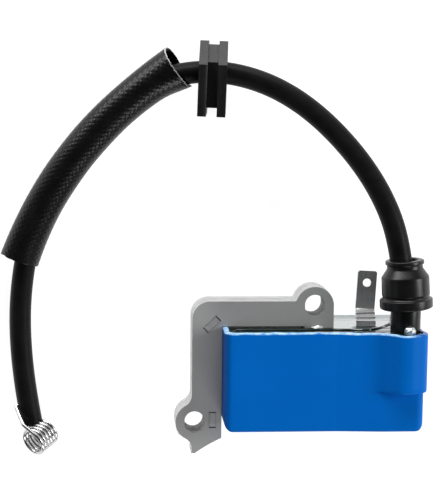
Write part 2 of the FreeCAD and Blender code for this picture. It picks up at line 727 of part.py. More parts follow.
def grommet_slab(left, right, inset, inset_top, chamfer):
    """Slice of the grommet between two places along the cable, chamfered along its top edges."""
    middle, along, up, front = grommet_frame()
    low = -GROMMET_BELOW_CABLE + inset
    high = GROMMET_ABOVE_CABLE - inset_top
    rear = -GROMMET_BEHIND + inset
    face = GROMMET_IN_FRONT - inset
    outline = [(low, rear), (low, face), (high - chamfer, face),
               (high, face - chamfer), (high, rear + chamfer), (high - chamfer, rear)]
    points = [middle + along * left + up * y + front * z for y, z in outline]
    return prism(points, along * (right - left))


def panel_grommet():
    """Two square flanges with a groove between, chamfered along the top."""
    half = GROMMET_FLANGE + 0.5 * GROMMET_GROOVE
    inner = 0.5 * GROMMET_GROOVE
    block = merged([grommet_slab(-half, -inner, 0, 0, GROMMET_CHAMFER),
                    grommet_slab(inner, half, 0, 0, GROMMET_CHAMFER),
                    grommet_slab(-half, half, GROOVE_DEPTH, GROOVE_DEPTH_TOP, GROOVE_CHAMFER)])
    centre, normal, _ = grommet_pivot()
    middle, along, _, _ = grommet_frame()
    ring = Part.Face(Part.Wire(Part.makeCircle(CABLE_R + GROMMET_CLEARANCE, middle, along)))
    bore = ring.revolve(centre, normal, GROMMET_BORE_TURN)
    return block.cut(bore.fuse(ring.revolve(centre, normal, -GROMMET_BORE_TURN)))


def sleeve_frame():
    """Centre, normal and radius of the circle that the sleeve bends along."""
    normal = Vector(SLEEVE_TILT_NORMAL).normalize()
    angle = math.radians(SLEEVE_START_ANGLE)
    flat = Vector(math.cos(angle), math.sin(angle), 0)
    start = (flat - normal * flat.dot(normal)).normalize()
    return SLEEVE_ARC_CENTRE, normal, start


def heat_sleeve():
    """Woven sleeve, bent along one arc, loose on the cable."""
    centre, normal, start = sleeve_frame()
    mouth = centre + start * SLEEVE_ARC_R
    along = normal.cross(start)
    turn = SLEEVE_END_ANGLE - SLEEVE_START_ANGLE
    discs = [Part.Face(Part.Wire(Part.makeCircle(radius, mouth, along)))
             for radius in (SLEEVE_R, SLEEVE_R - SLEEVE_WALL)]
    outer, inner = [disc.revolve(centre, normal, turn) for disc in discs]
    return outer.cut(inner)


# ---------------------------------------------------------------- plug spring

def spring_frame():
    axis = Vector(SPRING_AXIS).normalize()
    top = (Y_AXIS - axis * axis.y).normalize()
    near = top.cross(axis)
    return axis, near, top


def on_coil(arcs_before_end, radius):
    """Point of the coil, counted in arcs back from where its leg leaves."""
    axis, near, top = spring_frame()
    turn = math.radians(SPRING_LEG_ANGLE) - arcs_before_end * 2 * math.pi / SPRING_ARCS_PER_TURN
    height = SPRING_PITCH * (0.5 * SPRING_TURNS - arcs_before_end / SPRING_ARCS_PER_TURN)
    return SPRING_CENTRE + axis * height + (near * math.cos(turn) + top * math.sin(turn)) * radius


def leg_spring():
    """Close-wound contact spring whose leg is pushed into the cable's side.

    Each turn is a chain of tangent arcs, laid along the corners of a polygon that climbs
    round the coil.
    """
    arcs = round(SPRING_TURNS * SPRING_ARCS_PER_TURN)
    corner_r = SPRING_R / math.cos(math.pi / SPRING_ARCS_PER_TURN)
    start = on_coil(arcs, SPRING_R)
    corners = [on_coil(arcs - index - 0.5, corner_r) for index in range(arcs)]
    leave = on_coil(0, SPRING_R)
    away = leave + (leave - corners[-1]).normalize() * SPRING_RUN_OUT
    arc_r = 0.99 * cable_radii(corners[:3])[0] / (2 * CORNER_SHARE)
    path = rounded_path([start] + corners + [away] + SPRING_LEG, [arc_r] * arcs + SPRING_LEG_RADII)
    return round_tube(path, start, corners[0] - start, WIRE_R)


def build():
    cable, cable_length = cable_solid()
    spring = leg_spring()
    conductor = conductor_solid()
    pin = contact_pin()
    link = high_tension_link().cut(pin)
    parts = {
        "laminated_core": laminated_core(),
        "coil_case": coil_case(),
        "primary_bobbin": primary_bobbin(),
        "primary_winding": primary_winding(),
        "charge_winding": charge_winding(),
        "secondary_bobbin": secondary_bobbin(),
        "secondary_winding": secondary_winding(),
        "winding_pins": winding_pins(),
        "circuit_board": circuit_board(),
        "thyristor": thyristor(),
        "trigger_chip": trigger_chip(),
        "diodes": diodes(),
        "resistors": resistors(),
        "ceramic_capacitors": ceramic_capacitors(),
        "storage_capacitor": storage_capacitor(),
        "hookup_wires": hookup_wires(),
        "high_tension_link": link,
        "ground_strap": ground_strap(),
        "stop_terminal": stop_terminal(),
        "solder_joints": solder_joints(),
        "cable_socket": cable_socket(cable, pin, link),
        "contact_pin": pin,
        "strain_relief_boot": strain_relief_boot(cable),
    }
    parts["primary_bobbin"] = parts["primary_bobbin"].cut(parts["winding_pins"])
    fill = cavity().cut([box(-40, 40, RESIN_LEVEL, 40, -5, 40), leg_window()])
    parts["potting_resin"] = fill.cut(list(parts.values()) + [cable])
    parts["ignition_cable"] = cable.cut([conductor, pin, spring])
    parts["cable_conductor"] = conductor.cut(spring)
    parts["panel_grommet"] = panel_grommet()
    parts["heat_sleeve"] = heat_sleeve()
    parts["leg_spring"] = spring
    print("cable length %.1f mm" % cable_length)
    print("cable arc radii", [round(r, 1) for r in cable_radii(CABLE_ROUTE)])
    section = math.pi * CABLE_R ** 2
    print("cable volume %.1f, section times length %.1f" % (cable.Volume, section * cable_length))
    return parts


os.makedirs("parts", exist_ok=True)
for name, shape in build().items():
    if not shape.isValid():
        print("not valid:", name)
    shape.exportStep("parts/%s.step" % name)
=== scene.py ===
import math
import random

import bmesh
import bpy
import numpy as np
from mathutils import Matrix, Vector, noise


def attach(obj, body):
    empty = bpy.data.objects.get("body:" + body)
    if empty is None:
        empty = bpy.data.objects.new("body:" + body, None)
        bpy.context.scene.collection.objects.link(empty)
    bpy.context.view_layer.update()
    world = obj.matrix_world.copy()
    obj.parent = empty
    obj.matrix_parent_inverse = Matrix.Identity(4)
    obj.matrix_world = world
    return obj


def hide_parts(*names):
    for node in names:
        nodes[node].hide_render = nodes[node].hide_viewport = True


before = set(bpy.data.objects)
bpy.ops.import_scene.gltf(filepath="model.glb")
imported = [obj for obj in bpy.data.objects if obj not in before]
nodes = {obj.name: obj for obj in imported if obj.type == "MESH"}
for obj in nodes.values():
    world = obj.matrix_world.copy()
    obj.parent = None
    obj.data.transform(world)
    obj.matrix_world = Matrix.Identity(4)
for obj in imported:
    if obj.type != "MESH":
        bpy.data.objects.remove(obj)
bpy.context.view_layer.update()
random.seed(7)
scene = bpy.context.scene
scene.view_settings.view_transform = "Standard"

# Sizes and places are in millimetres. Blender takes metres, so MM scales them.
MM = 0.001

# The case's section across (X) and in depth (Z), and its height (Y). The front rises from
# "front" to "raised" over FRONT_RAMP. A circle is its centre's X, its centre's Z and its radius.
CASE = dict(left=-19.35, right=28.25, bottom=-16.95, rim=6.95, front=24.0, raised=24.8)
FRONT_RAMP = (7.25, 18.55)
TOWER = (23.5, 23.3, 5.1)
SEAT = (24.1, 20.0, 4.4)


# -------- camera

LENS = 113.2
SENSOR_WIDTH = 36.0
CAMERA_PLACE = Vector((-48.69, 77.12, 381.45))
CAMERA_AIM = Vector((0.0753, -0.1376, -0.9877)).normalized()
CAMERA_UP = Vector((0.0, 0.9905, -0.138)).normalized()


def place_camera():
    camera = bpy.data.objects.new("camera", bpy.data.cameras.new("camera"))
    scene.collection.objects.link(camera)
    camera.data.lens = LENS
    camera.data.sensor_width = SENSOR_WIDTH
    camera.data.clip_start = 0.01
    camera.data.clip_end = 20.0
    right = CAMERA_AIM.cross(CAMERA_UP).normalized()
    up = right.cross(CAMERA_AIM).normalized()
    turn = Matrix((right, up, -CAMERA_AIM)).transposed()
    camera.matrix_world = Matrix.Translation(CAMERA_PLACE * MM) @ turn.to_4x4()
    scene.camera = camera


place_camera()


# -------- helpers

def link(obj, body="module"):
    """Put a piece in the scene and on a moving body."""
    scene.collection.objects.link(obj)
    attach(obj, body)
    return obj


def mesh_piece(name, verts, faces, materials, body="module", smooth=True):
    """A piece from verts in millimetres."""
    mesh = bpy.data.meshes.new(name)
    mesh.from_pydata([tuple(c * MM for c in v) for v in verts], [], faces)
    mesh.validate()
    mesh.update()
    for polygon in mesh.polygons:
        polygon.use_smooth = smooth
    for material in materials:
        mesh.materials.append(material)
    obj = bpy.data.objects.new(name, mesh)
    return link(obj, body)


def fix_normals(obj):
    """Turn all faces outward."""
    bm = bmesh.new()
    bm.from_mesh(obj.data)
    bmesh.ops.recalc_face_normals(bm, faces=bm.faces)
    bm.to_mesh(obj.data)
    bm.free()


def sharp_by_angle(obj, degrees):
    """Smooth shading with sharp edges where faces meet at more than this angle."""
    bm = bmesh.new()
    bm.from_mesh(obj.data)
    for edge in bm.edges:
        if len(edge.link_faces) == 2:
            edge.smooth = edge.calc_face_angle() < math.radians(degrees)
    bm.to_mesh(obj.data)
    bm.free()


def loft(rings):
    """Verts and faces of a closed skin through rings of equal count."""
    count = len(rings[0])
    verts = [tuple(p) for ring in rings for p in ring]
    faces = []
    for i in range(len(rings) - 1):
        for j in range(count):
            k = (j + 1) % count
            faces.append((i * count + j, i * count + k, (i + 1) * count + k, (i + 1) * count + j))
    faces.append(tuple(reversed(range(count))))
    faces.append(tuple((len(rings) - 1) * count + j for j in range(count)))
    return verts, faces


def basis(direction):
    """A direction with two more that stand square to it."""
    direction = Vector(direction).normalized()
    helper = Vector((0, 0, 1)) if abs(direction.z) < 0.9 else Vector((1, 0, 0))
    side = direction.cross(helper).normalized()
    return direction, side, direction.cross(side).normalized()


def rounded(points, radii, steps=5):
    """Points of a 2-D line with its corners rounded off."""
    out = [points[0]]
    for a, b, c, r in zip(points, points[1:], points[2:], radii):
        a, b, c = Vector(a), Vector(b), Vector(c)
        back, ahead = a - b, c - b
        u, v = back.normalized(), ahead.normalized()
        half = 0.5 * (math.pi - u.angle(v))
        if half < 0.02:
            out.append(tuple(b))
            continue
        reach = min(r * math.tan(half), 0.48 * back.length, 0.48 * ahead.length)
        start, end = b + u * reach, b + v * reach
        for i in range(steps + 1):
            t = i / steps
            p = start * (1 - t) ** 2 + b * 2 * t * (1 - t) + end * t ** 2
            out.append(tuple(p))
    out.append(points[-1])
    return out


def lathe(name, profile, origin, direction, material, segments, wobble):
    """A turned piece with a slightly uneven skin. A profile point is radius and distance along."""
    axis, side, other = basis(direction)
    origin = Vector(origin)
    rings = []
    for radius, along in profile:
        ring = []
        for j in range(segments):
            angle = 2 * math.pi * j / segments
            out = side * math.cos(angle) + other * math.sin(angle)
            uneven = wobble * noise.noise(out * 1.5 + axis * along * 0.25)
            ring.append(origin + axis * along + out * (radius + uneven))
        rings.append(ring)
    verts, faces = loft(rings)
    obj = mesh_piece(name, verts, faces, [material])
    fix_normals(obj)
    sharp_by_angle(obj, 50)
    return obj


def curve_piece(name, splines, radius, material, order, bevel_resolution, resolution=12):
    """Round wires of one radius along smooth lines that follow control points."""
    data = bpy.data.curves.new(name, "CURVE")
    data.dimensions = "3D"
    data.bevel_depth = radius * MM
    data.bevel_resolution = bevel_resolution
    data.resolution_u = resolution
    data.use_fill_caps = True
    for points in splines:
        spline = data.splines.new("NURBS")
        spline.points.add(len(points) - 1)
        for point, place in zip(spline.points, points):
            point.co = (place[0] * MM, place[1] * MM, place[2] * MM, 1.0)
        spline.order_u = order
        spline.use_endpoint_u = True
        spline.use_smooth = True
    data.materials.append(material)
    return link(bpy.data.objects.new(name, data))


# -------- materials

class Nodes:
    """Small helper for building a node tree."""

    def __init__(self, name):
        self.material = bpy.data.materials.new(name)
        self.material.use_nodes = True
        self.tree = self.material.node_tree
        self.shader = self.tree.nodes["Principled BSDF"]
        coords = self.tree.nodes.new("ShaderNodeTexCoord")
        self.place = coords.outputs["Object"]
        self.uv = coords.outputs["UV"]

    def add(self, kind, **values):
        """A new node. The values are its settings or, with _ for a space, its inputs."""
        node = self.tree.nodes.new(kind)
        for key, value in values.items():
            if hasattr(node, key):
                setattr(node, key, value)
            else:
                self.put(value, node.inputs[key.replace("_", " ")])
        return node

    def put(self, value, socket):
        if isinstance(value, bpy.types.NodeSocket):
            self.tree.links.new(value, socket)
        else:
            socket.default_value = value

    def scaled(self, factors, source=None):
        mapping = self.add("ShaderNodeMapping", Vector=source or self.place, Scale=factors)
        return mapping.outputs["Vector"]

    def noise(self, scale, detail, vector=None, distortion=0.0):
        node = self.add("ShaderNodeTexNoise", Vector=vector or self.place, Scale=scale, Detail=detail,
                        Distortion=distortion)
        return node.outputs["Fac"]

    def ramp(self, fac, stops):
        node = self.add("ShaderNodeValToRGB", Fac=fac)
        ramp = node.color_ramp
        while len(ramp.elements) < len(stops):
            ramp.elements.new(0.5)
        for element, (position, color) in zip(ramp.elements, stops):
            element.position = position
            element.color = (*color, 1.0)
        return node.outputs["Color"]

    def spread(self, fac, low, high, source_low=0.3, source_high=0.7):
        """From low to high while fac runs between the source values."""
        node = self.add("ShaderNodeMapRange", Value=fac, From_Min=source_low, From_Max=source_high,
                        To_Min=low, To_Max=high)
        return node.outputs["Result"]

    def axis(self, name):
        """A coordinate of the place on the piece, in metres."""
        return self.add("ShaderNodeSeparateXYZ", Vector=self.place).outputs[name]

    def math(self, operation, a, b):
        node = self.add("ShaderNodeMath", operation=operation)
        self.put(a, node.inputs[0])
        self.put(b, node.inputs[1])
        return node.outputs[0]

    def mix(self, fac, a, b):
        node = self.add("ShaderNodeMix", data_type="RGBA")
        self.put(fac, node.inputs[0])
        self.put(a if isinstance(a, bpy.types.NodeSocket) else (*a, 1.0), node.inputs[6])
        self.put(b if isinstance(b, bpy.types.NodeSocket) else (*b, 1.0), node.inputs[7])
        return node.outputs[2]

    def bump(self, height, strength, distance, after=None):
        node = self.add("ShaderNodeBump", Height=height, Strength=strength, Distance=distance)
        if after:
            self.put(after, node.inputs["Normal"])
        return node.outputs["Normal"]

    def finish(self, color, rough, normal=None, **sockets):
        self.put(color, self.shader.inputs["Base Color"])
        self.put(rough, self.shader.inputs["Roughness"])
        if normal:
            self.put(normal, self.shader.inputs["Normal"])
        for name, value in sockets.items():
            self.put(value, self.shader.inputs[name.replace("_", " ")])
        return self.material


def steel_face():
    """Rolled face of the front sheet."""
    n = Nodes("lamination_face")
    cloud = n.noise(90, 4)
    grain = n.noise(4200, 2, vector=n.scaled((1.0, 0.12, 1.0)))
    both = n.math("ADD", n.math("MULTIPLY", cloud, 0.6), n.math("MULTIPLY", grain, 0.4))
    color = n.ramp(both, [(0.3, (0.38, 0.38, 0.375)), (0.7, (0.42, 0.42, 0.415))])
    rough = n.spread(cloud, 0.5, 0.62)
    return n.finish(color, rough, n.bump(grain, 0.10, 0.00003), Metallic=0.15, Specular_IOR_Level=0.2)


def steel_edge(name, low, high, metallic):
    """Sheared edges of the sheets, striped along each sheet."""
    n = Nodes(name)
    layer = n.noise(900, 3, vector=n.scaled((0.25, 0.25, 1.6)))
    shear = n.noise(2600, 2, vector=n.scaled((1.0, 1.0, 0.2)))
    color = n.ramp(layer, [(0.25, (low,) * 3), (0.75, (high,) * 3)])
    return n.finish(color, n.spread(shear, 0.3, 0.5), n.bump(shear, 0.25, 0.00005), Metallic=metallic)


def blue_plastic():
    """Moulded blue, with painted shade that darkens the left wall."""
    n = Nodes("case_blue")
    cloud = n.noise(60, 3)
    grain = n.noise(5200, 2)
    ripple = n.noise(170, 2)
    color = n.ramp(cloud, [(0.3, (0.0, 0.148, 0.60)), (0.7, (0.0, 0.160, 0.64))])
    # Painted shade: within 1.5 mm of the left wall the blue is mixed to a darker tone by its place on
    # the case.
    off_wall_shade = n.spread(n.axis("X"), 0.0, 1.0, (CASE["left"] + 0.05) * MM, (CASE["left"] + 1.55) * MM)
    color = n.mix(off_wall_shade, (0.0, 0.058, 0.26), color)
    rough = n.spread(n.noise(420, 4), 0.38, 0.48)
    normal = n.bump(ripple, 0.1, 0.0003, n.bump(grain, 0.12, 0.00002))
    return n.finish(color, rough, normal, Specular_IOR_Level=0.06)


def blue_rim():
    """Rim with uneven roughness and bumps, painted pale and near-white in patches as a highlight;
    painted shade darkens it round the right side of the tower.
    """
    n = Nodes("case_rim")
    wear_and_highlight = n.noise(520, 3, vector=n.scaled((1.0, 2.5, 2.5)))
    # Painted highlight: the pale and near-white stops stand in for light caught on the rim's edge.
    color = n.ramp(wear_and_highlight, [(0.32, (0.06, 0.30, 0.80)), (0.48, (0.30, 0.60, 0.98)),
                          (0.66, (0.62, 0.84, 1.0))])
    # Painted shade: the rim turns dark blue round the right side of the tower.
    tower_side_shade = n.spread(n.axis("X"), 0.0, 1.0, TOWER[0] * MM, (TOWER[0] + 3.0) * MM)
    color = n.mix(tower_side_shade, color, (0.0, 0.10, 0.40))
    return n.finish(color, n.spread(wear_and_highlight, 0.2, 0.4), n.bump(wear_and_highlight, 0.5, 0.00015), Specular_IOR_Level=0.3)


# Edge of the second pour of resin, as places across and in depth, all within RIDGE_SPAN
RESIN_RIDGE = [(7.6, 15.7), (11.0, 18.3), (14.6, 20.3), (17.3, 17.2), (19.7, 14.7), (22.0, 8.8),
               (24.0, 1.0)]
RIDGE_SPAN = 25.0


def resin():
    """Glossy resin, dulled in streaks ahead of the second pour's edge."""
    n = Nodes("resin_gloss")
    cloud = n.noise(160, 3)
    color = n.ramp(cloud, [(0.3, (0.004, 0.010, 0.009)), (0.75, (0.014, 0.028, 0.026))])
    wave = n.noise(330, 2, distortion=0.6)
    edge = n.ramp(n.spread(n.axis("X"), 0.0, 1.0, 0.0, RIDGE_SPAN * MM),
                  [(x / RIDGE_SPAN, (z / RIDGE_SPAN,) * 3) for x, z in RESIN_RIDGE])
    ahead = n.math("SUBTRACT", n.spread(n.axis("Z"), 0.0, 1.0, 0.0, RIDGE_SPAN * MM), edge)
    streak = n.noise(420, 2, vector=n.scaled((0.25, 1.0, 1.0)))
    dull = n.math("MULTIPLY", n.spread(ahead, 0.0, 1.0, 0.0, 0.03),
                  n.spread(streak, 1.0, 0.0, 0.56, 0.66))
    return n.finish(color, n.spread(n.noise(900, 3), 0.03, 0.09), n.bump(wave, 0.15, 0.0003),
                    IOR=1.9, Coat_Weight=n.spread(dull, 1.0, 0.0, 0.0, 1.0), Coat_Roughness=0.02,
                    Coat_IOR=1.7, Coat_Tint=(0.93, 0.99, 0.98, 1.0),
                    Specular_IOR_Level=n.spread(dull, 0.5, 0.06, 0.0, 1.0))


def resin_flash():
    """Thin amber-pink skin that cured resin leaves along the wall."""
    n = Nodes("resin_flash")
    streak = n.noise(700, 3, vector=n.scaled((0.3, 1.0, 1.0)))
    color = n.ramp(streak, [(0.35, (0.035, 0.022, 0.020)), (0.5, (0.32, 0.20, 0.17)),
                            (0.7, (0.62, 0.50, 0.46))])
    return n.finish(color, n.spread(streak, 0.1, 0.3), n.bump(streak, 0.3, 0.0001))


# Heights between which the stop terminal's offset bend begins, and between which it ends
BEND_BEGINS = (7.8, 8.6)
BEND_ENDS = (10.0, 10.8)


def terminal_steel():
    """Brushed plating, creased across where the terminal is bent."""
    n = Nodes("terminal_plated")
    brushed = n.noise(3600, 3, vector=n.scaled((1.0, 0.08, 1.0)))
    stain = n.noise(220, 3)
    above = n.spread(n.axis("Y"), 0.0, 1.0, BEND_BEGINS[0] * MM, BEND_BEGINS[1] * MM)
    below = n.spread(n.axis("Y"), 1.0, 0.0, BEND_ENDS[0] * MM, BEND_ENDS[1] * MM)
    wave = n.add("ShaderNodeTexWave", bands_direction="Y", Vector=n.scaled((0.5, 1.0, 1.0)),
                 Scale=330.0, Distortion=2.5, Detail_Scale=0.6)
    bands = n.math("MULTIPLY", wave.outputs["Fac"], n.math("MULTIPLY", above, below))
    color = n.ramp(stain, [(0.3, (0.44, 0.44, 0.44)), (0.7, (0.62, 0.62, 0.62))])
    return n.finish(color, n.spread(brushed, 0.26, 0.36),
                    n.bump(bands, 0.9, 0.0005, n.bump(brushed, 0.1, 0.00002)), Metallic=0.5,
                    Specular_IOR_Level=0.7)


def rubber(name, low, high, rough_low, rough_high, grain, specular):
    n = Nodes(name)
    cloud = n.noise(260, 4)
    fine = n.noise(3400, 3)
    color = n.ramp(cloud, [(0.3, (low,) * 3), (0.7, (high,) * 3)])
    return n.finish(color, n.spread(fine, rough_low, rough_high), n.bump(fine, grain, 0.00006),
                    Specular_IOR_Level=specular)


def cable_jacket():
    """Extruded jacket. Its streaks run along it, so they follow the curve's own coordinates."""
    n = Nodes("cable_jacket")
    streaks = n.noise(30, 4, vector=n.scaled((3.0, 14.0, 1.0), n.uv))
    cloud = n.noise(300, 3)
    dust = n.noise(2600, 2)
    color = n.ramp(cloud, [(0.3, (0.004,) * 3), (0.7, (0.008,) * 3)])
    rough = n.math("ADD", n.spread(streaks, 0.38, 0.46), n.spread(dust, 0.0, 0.05))
    return n.finish(color, rough, n.bump(streaks, 0.04, 0.00005, n.bump(dust, 0.08, 0.00003)),
                    Specular_IOR_Level=0.12)


# Crossings of the sleeve's yarns, along it and round it
SLEEVE_CELLS_LONG = 82
SLEEVE_CELLS_ROUND = 38


def woven():
    """Varnished glass braid. Its yarns cross at a slant, so the fibres run both ways by turns."""
    n = Nodes("sleeve_weave")
    cells = n.scaled((SLEEVE_CELLS_LONG, SLEEVE_CELLS_ROUND, 1.0), n.uv)
    turned = n.add("ShaderNodeMapping", Vector=cells, Rotation=(0.0, 0.0, math.radians(45)))
    one_way = n.noise(1.0, 2, vector=n.scaled((1.2, 8.0, 1.0), turned.outputs["Vector"]))
    other_way = n.noise(1.0, 2, vector=n.scaled((8.0, 1.2, 1.0), turned.outputs["Vector"]))
    fibre = n.math("MAXIMUM", one_way, other_way)
    wear_and_highlight = n.noise(300, 3)
    color = n.ramp(n.math("MULTIPLY", fibre, n.spread(wear_and_highlight, 0.7, 1.2)),
                   [(0.35, (0.002,) * 3), (0.65, (0.005,) * 3), (0.85, (0.014, 0.014, 0.014))])
    return n.finish(color, n.spread(fibre, 0.20, 0.40), n.bump(fibre, 0.25, 0.00006),
                    Specular_IOR_Level=0.28)


def frayed():
    """Pale loose ends of the glass fibre at the sleeve's cut."""
    n = Nodes("sleeve_cut_edge")
    fluff = n.noise(5200, 3)
    color = n.ramp(fluff, [(0.35, (0.30, 0.30, 0.29)), (0.6, (0.75, 0.75, 0.73))])
    return n.finish(color, 0.8, n.bump(fluff, 0.6, 0.0001))


def bright_metal(name, low, high, rough_low, rough_high, bump=0.08, scale=900):
    n = Nodes(name)
    cloud = n.noise(scale, 3)
    color = n.ramp(cloud, [(0.3, low), (0.7, high)])
    return n.finish(color, n.spread(cloud, rough_low, rough_high), n.bump(cloud, bump, 0.00005),
                    Metallic=1.0)


def plain_detail(name, low, high, rough, scale, metallic=0.0, stretch=(1.0, 1.0, 1.0)):
    """Grained materials of the sealed pieces, such as winding layers, mouldings and laminate."""
    n = Nodes(name)
    grain = n.noise(scale, 3, vector=n.scaled(stretch))
    color = n.ramp(grain, [(0.3, low), (0.7, high)])
    return n.finish(color, n.spread(grain, rough - 0.08, rough + 0.08), n.bump(grain, 0.3, 0.00008),
                    Metallic=metallic)


FACE = steel_face()
EDGE = steel_edge("lamination_edge", 0.40, 0.74, 0.8)
# Painted shade: a dark copy of the sheared-edge steel for the walls inside the screw slots.
SLOT_WALL_SHADE = steel_edge("slot_wall_shade", 0.05, 0.13, 0.3)
BLUE = blue_plastic()
RIM = blue_rim()
RESIN = resin()
RESIN_FLASH = resin_flash()
TERMINAL = terminal_steel()
BOOT_RUBBER = rubber("boot_rubber", 0.004, 0.008, 0.28, 0.38, grain=0.10, specular=0.35)
GROMMET_RUBBER = rubber("grommet_rubber", 0.005, 0.010, 0.34, 0.44, grain=0.20, specular=0.40)
JACKET = cable_jacket()
WEAVE = woven()
FRAY = frayed()
SPRING = bright_metal("spring_bright", (0.50, 0.50, 0.50), (0.70, 0.70, 0.70), 0.20, 0.30)
SOLDER = bright_metal("solder_bright", (0.50, 0.54, 0.54), (0.62, 0.66, 0.66), 0.36, 0.48, 0.05, 1400)
BLACK_MOULD = plain_detail("bobbin_mould", (0.01,) * 3, (0.03,) * 3, 0.5, 1500)
COPPER = plain_detail("enamelled_copper", (0.22, 0.06, 0.02), (0.62, 0.25, 0.10), 0.35, 2400, 0.9,
                      (0.2, 3.0, 0.2))
TIN = bright_metal("tinned", (0.5, 0.5, 0.5), (0.75, 0.75, 0.75), 0.25, 0.4)
BRASS = bright_metal("brass_pin", (0.5, 0.33, 0.12), (0.75, 0.55, 0.25), 0.25, 0.4)
LAMINATE = plain_detail("board_laminate", (0.01, 0.07, 0.03), (0.02, 0.16, 0.07), 0.4, 1800)
EPOXY = plain_detail("black_epoxy", (0.008,) * 3, (0.02,) * 3, 0.45, 2600)
TAN = plain_detail("tan_ceramic", (0.35, 0.22, 0.11), (0.5, 0.33, 0.18), 0.5, 2600)
DIPPED = plain_detail("dipped_epoxy", (0.28, 0.05, 0.02), (0.45, 0.09, 0.04), 0.3, 700)

CAD_LOOKS = {
    "potting_resin": RESIN, "stop_terminal": TERMINAL, "panel_grommet": GROMMET_RUBBER,
    "primary_bobbin": BLACK_MOULD, "secondary_bobbin": BLACK_MOULD, "cable_socket": BLACK_MOULD,
    "primary_winding": COPPER, "charge_winding": COPPER, "secondary_winding": COPPER,
    "hookup_wires": COPPER, "winding_pins": TIN, "high_tension_link": TIN, "ground_strap": TIN,
    "contact_pin": BRASS, "circuit_board": LAMINATE, "thyristor": EPOXY, "trigger_chip": EPOXY,
    "diodes": EPOXY, "resistors": EPOXY, "ceramic_capacitors": TAN, "storage_capacitor": DIPPED,
}


def dress(name, material):
    """Give a CAD node one material all over."""
    slots = nodes[name].data.materials
    for index in range(len(slots)):
        slots[index] = material
    if not len(slots):
        slots.append(material)


for name, material in CAD_LOOKS.items():
    dress(name, material)


def soften(name, width):
    """Weld the split faces of a CAD node and round its edges."""
    weld = nodes[name].modifiers.new("weld", "WELD")
    weld.merge_threshold = 0.000002
    bevel = nodes[name].modifiers.new("bevel", "BEVEL")
    bevel.width = width * MM
    bevel.segments = 3
    bevel.limit_method = "ANGLE"
    bevel.angle_limit = math.radians(35)


soften("panel_grommet", 0.22)
soften("stop_terminal", 0.07)


# -------- cable

# The lead's route from inside the case to its cut end, as control points of a smooth line
ROUTE = [
    (24.2, 2.4, 20.0), (24.0, 24.0, 20.0), (16.4, 44.1, 15.5), (-1.4, 62.4, 10.6), (-21.7, 68.93, 9.2),
    (-40.5, 64.0, 7.2), (-58.3, 44.4, 5.9), (-66.8, 26.0, 4.7), (-69.0, -0.6, 3.3), (-65.6, -19.0, 2.75),
]
CABLE_R = 2.65
cable = curve_piece("ignition_lead", [ROUTE], CABLE_R, JACKET,
                    order=3, bevel_resolution=12, resolution=24)
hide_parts("ignition_cable", "cable_conductor")


def centreline():
    """Points of the cable's own NURBS line, in millimetres."""
    bare = cable.data.copy()
    bare.bevel_depth = 0.0
    holder = bpy.data.objects.new("bare", bare)
    line = bpy.data.meshes.new_from_object(holder)
    points = [v.co / MM for v in line.vertices]
    bpy.data.objects.remove(holder)
    return points


LINE = centreline()

# Radius, distance past the lead's end, and raggedness, from the jacket's skin to its middle
TIP_PROFILE = [
    (CABLE_R - 0.05, -0.6, 0.0), (CABLE_R - 0.01, 0.02, 0.0), (CABLE_R - 0.08, 0.45, 0.45),
    (CABLE_R - 0.5, 0.65, 0.6), (1.1, 0.6, 0.3), (0.8, 0.35, 0.1), (0.02, 0.35, 0.0),
]
STRANDS_ROUND = 6
STRAND_CIRCLE_R = 0.46
STRAND_R = 0.22


def cable_tip():
    """Roughly cut end of the jacket, with one strand of the wire in the middle and six round it."""
    end = LINE[-1]
    axis, side, other = basis(end - LINE[-4])
    rings = []
    segments = 48
    for radius, along, rough in TIP_PROFILE:
        ring = []
        for j in range(segments):
            angle = 2 * math.pi * j / segments
            out = side * math.cos(angle) + other * math.sin(angle)
            jag = rough * (noise.noise(out * 2.2 + Vector((3, 1, 0))) + 0.4 * noise.noise(out * 7))
            ring.append(end + axis * (along + jag) + out * radius)
        rings.append(ring)
    verts, faces = loft(rings)
    tip = mesh_piece("lead_cut_end", verts, faces, [JACKET])
    fix_normals(tip)
    strands = []
    for k in range(STRANDS_ROUND + 1):
        spot = end
        if k < STRANDS_ROUND:
            angle = 2 * math.pi * k / STRANDS_ROUND
            spot = end + side * STRAND_CIRCLE_R * math.cos(angle)
            spot = spot + other * STRAND_CIRCLE_R * math.sin(angle)
        reach = 0.55 + 0.12 * math.sin(5.0 * k)
        strands.append([spot - axis * 1.0, spot - axis * 0.1, spot + axis * reach])
    wires = curve_piece("lead_strands", strands, STRAND_R, BRASS,
                        order=3, bevel_resolution=3)
    return [tip, wires]


tip_pieces = cable_tip()


# -------- plug spring

WIRE_R = 0.45
SPRING_R = 3.2
SPRING_PITCH = 1.05
SPRING_TURNS = 5.5
SPRING_CENTRE = Vector((-63.50, -22.58, 4.56))
SPRING_AXIS = Vector((-0.60, -0.36, 0.70)).normalized()
SPRING_LEG_ANGLE = math.radians(62)
SPRING_LEG = [Vector(p) for p in ((-67.45, -18.95, 7.2), (-69.45, -15.0, 3.6), (-66.6, -14.2, 2.9))]
SPRING_RUN_OUT = 1.0
SPRING_BEND = 0.8
SPRING_STEPS = 16
# A smooth line runs a little inside its control points, so these stand out by this factor
CONTROL_OUT = 1.013


def coil_point(back):
    """A control point of the coil, so many steps back from where the leg leaves it."""
    top = (Vector((0, 1, 0)) - SPRING_AXIS * SPRING_AXIS.y).normalized()
    near = top.cross(SPRING_AXIS)
    angle = SPRING_LEG_ANGLE - back * 2 * math.pi / SPRING_STEPS
    height = 0.5 * SPRING_PITCH * SPRING_TURNS - back * SPRING_PITCH / SPRING_STEPS
    out = near * math.cos(angle) + top * math.sin(angle)
    return SPRING_CENTRE + SPRING_AXIS * height + out * (SPRING_R * CONTROL_OUT)


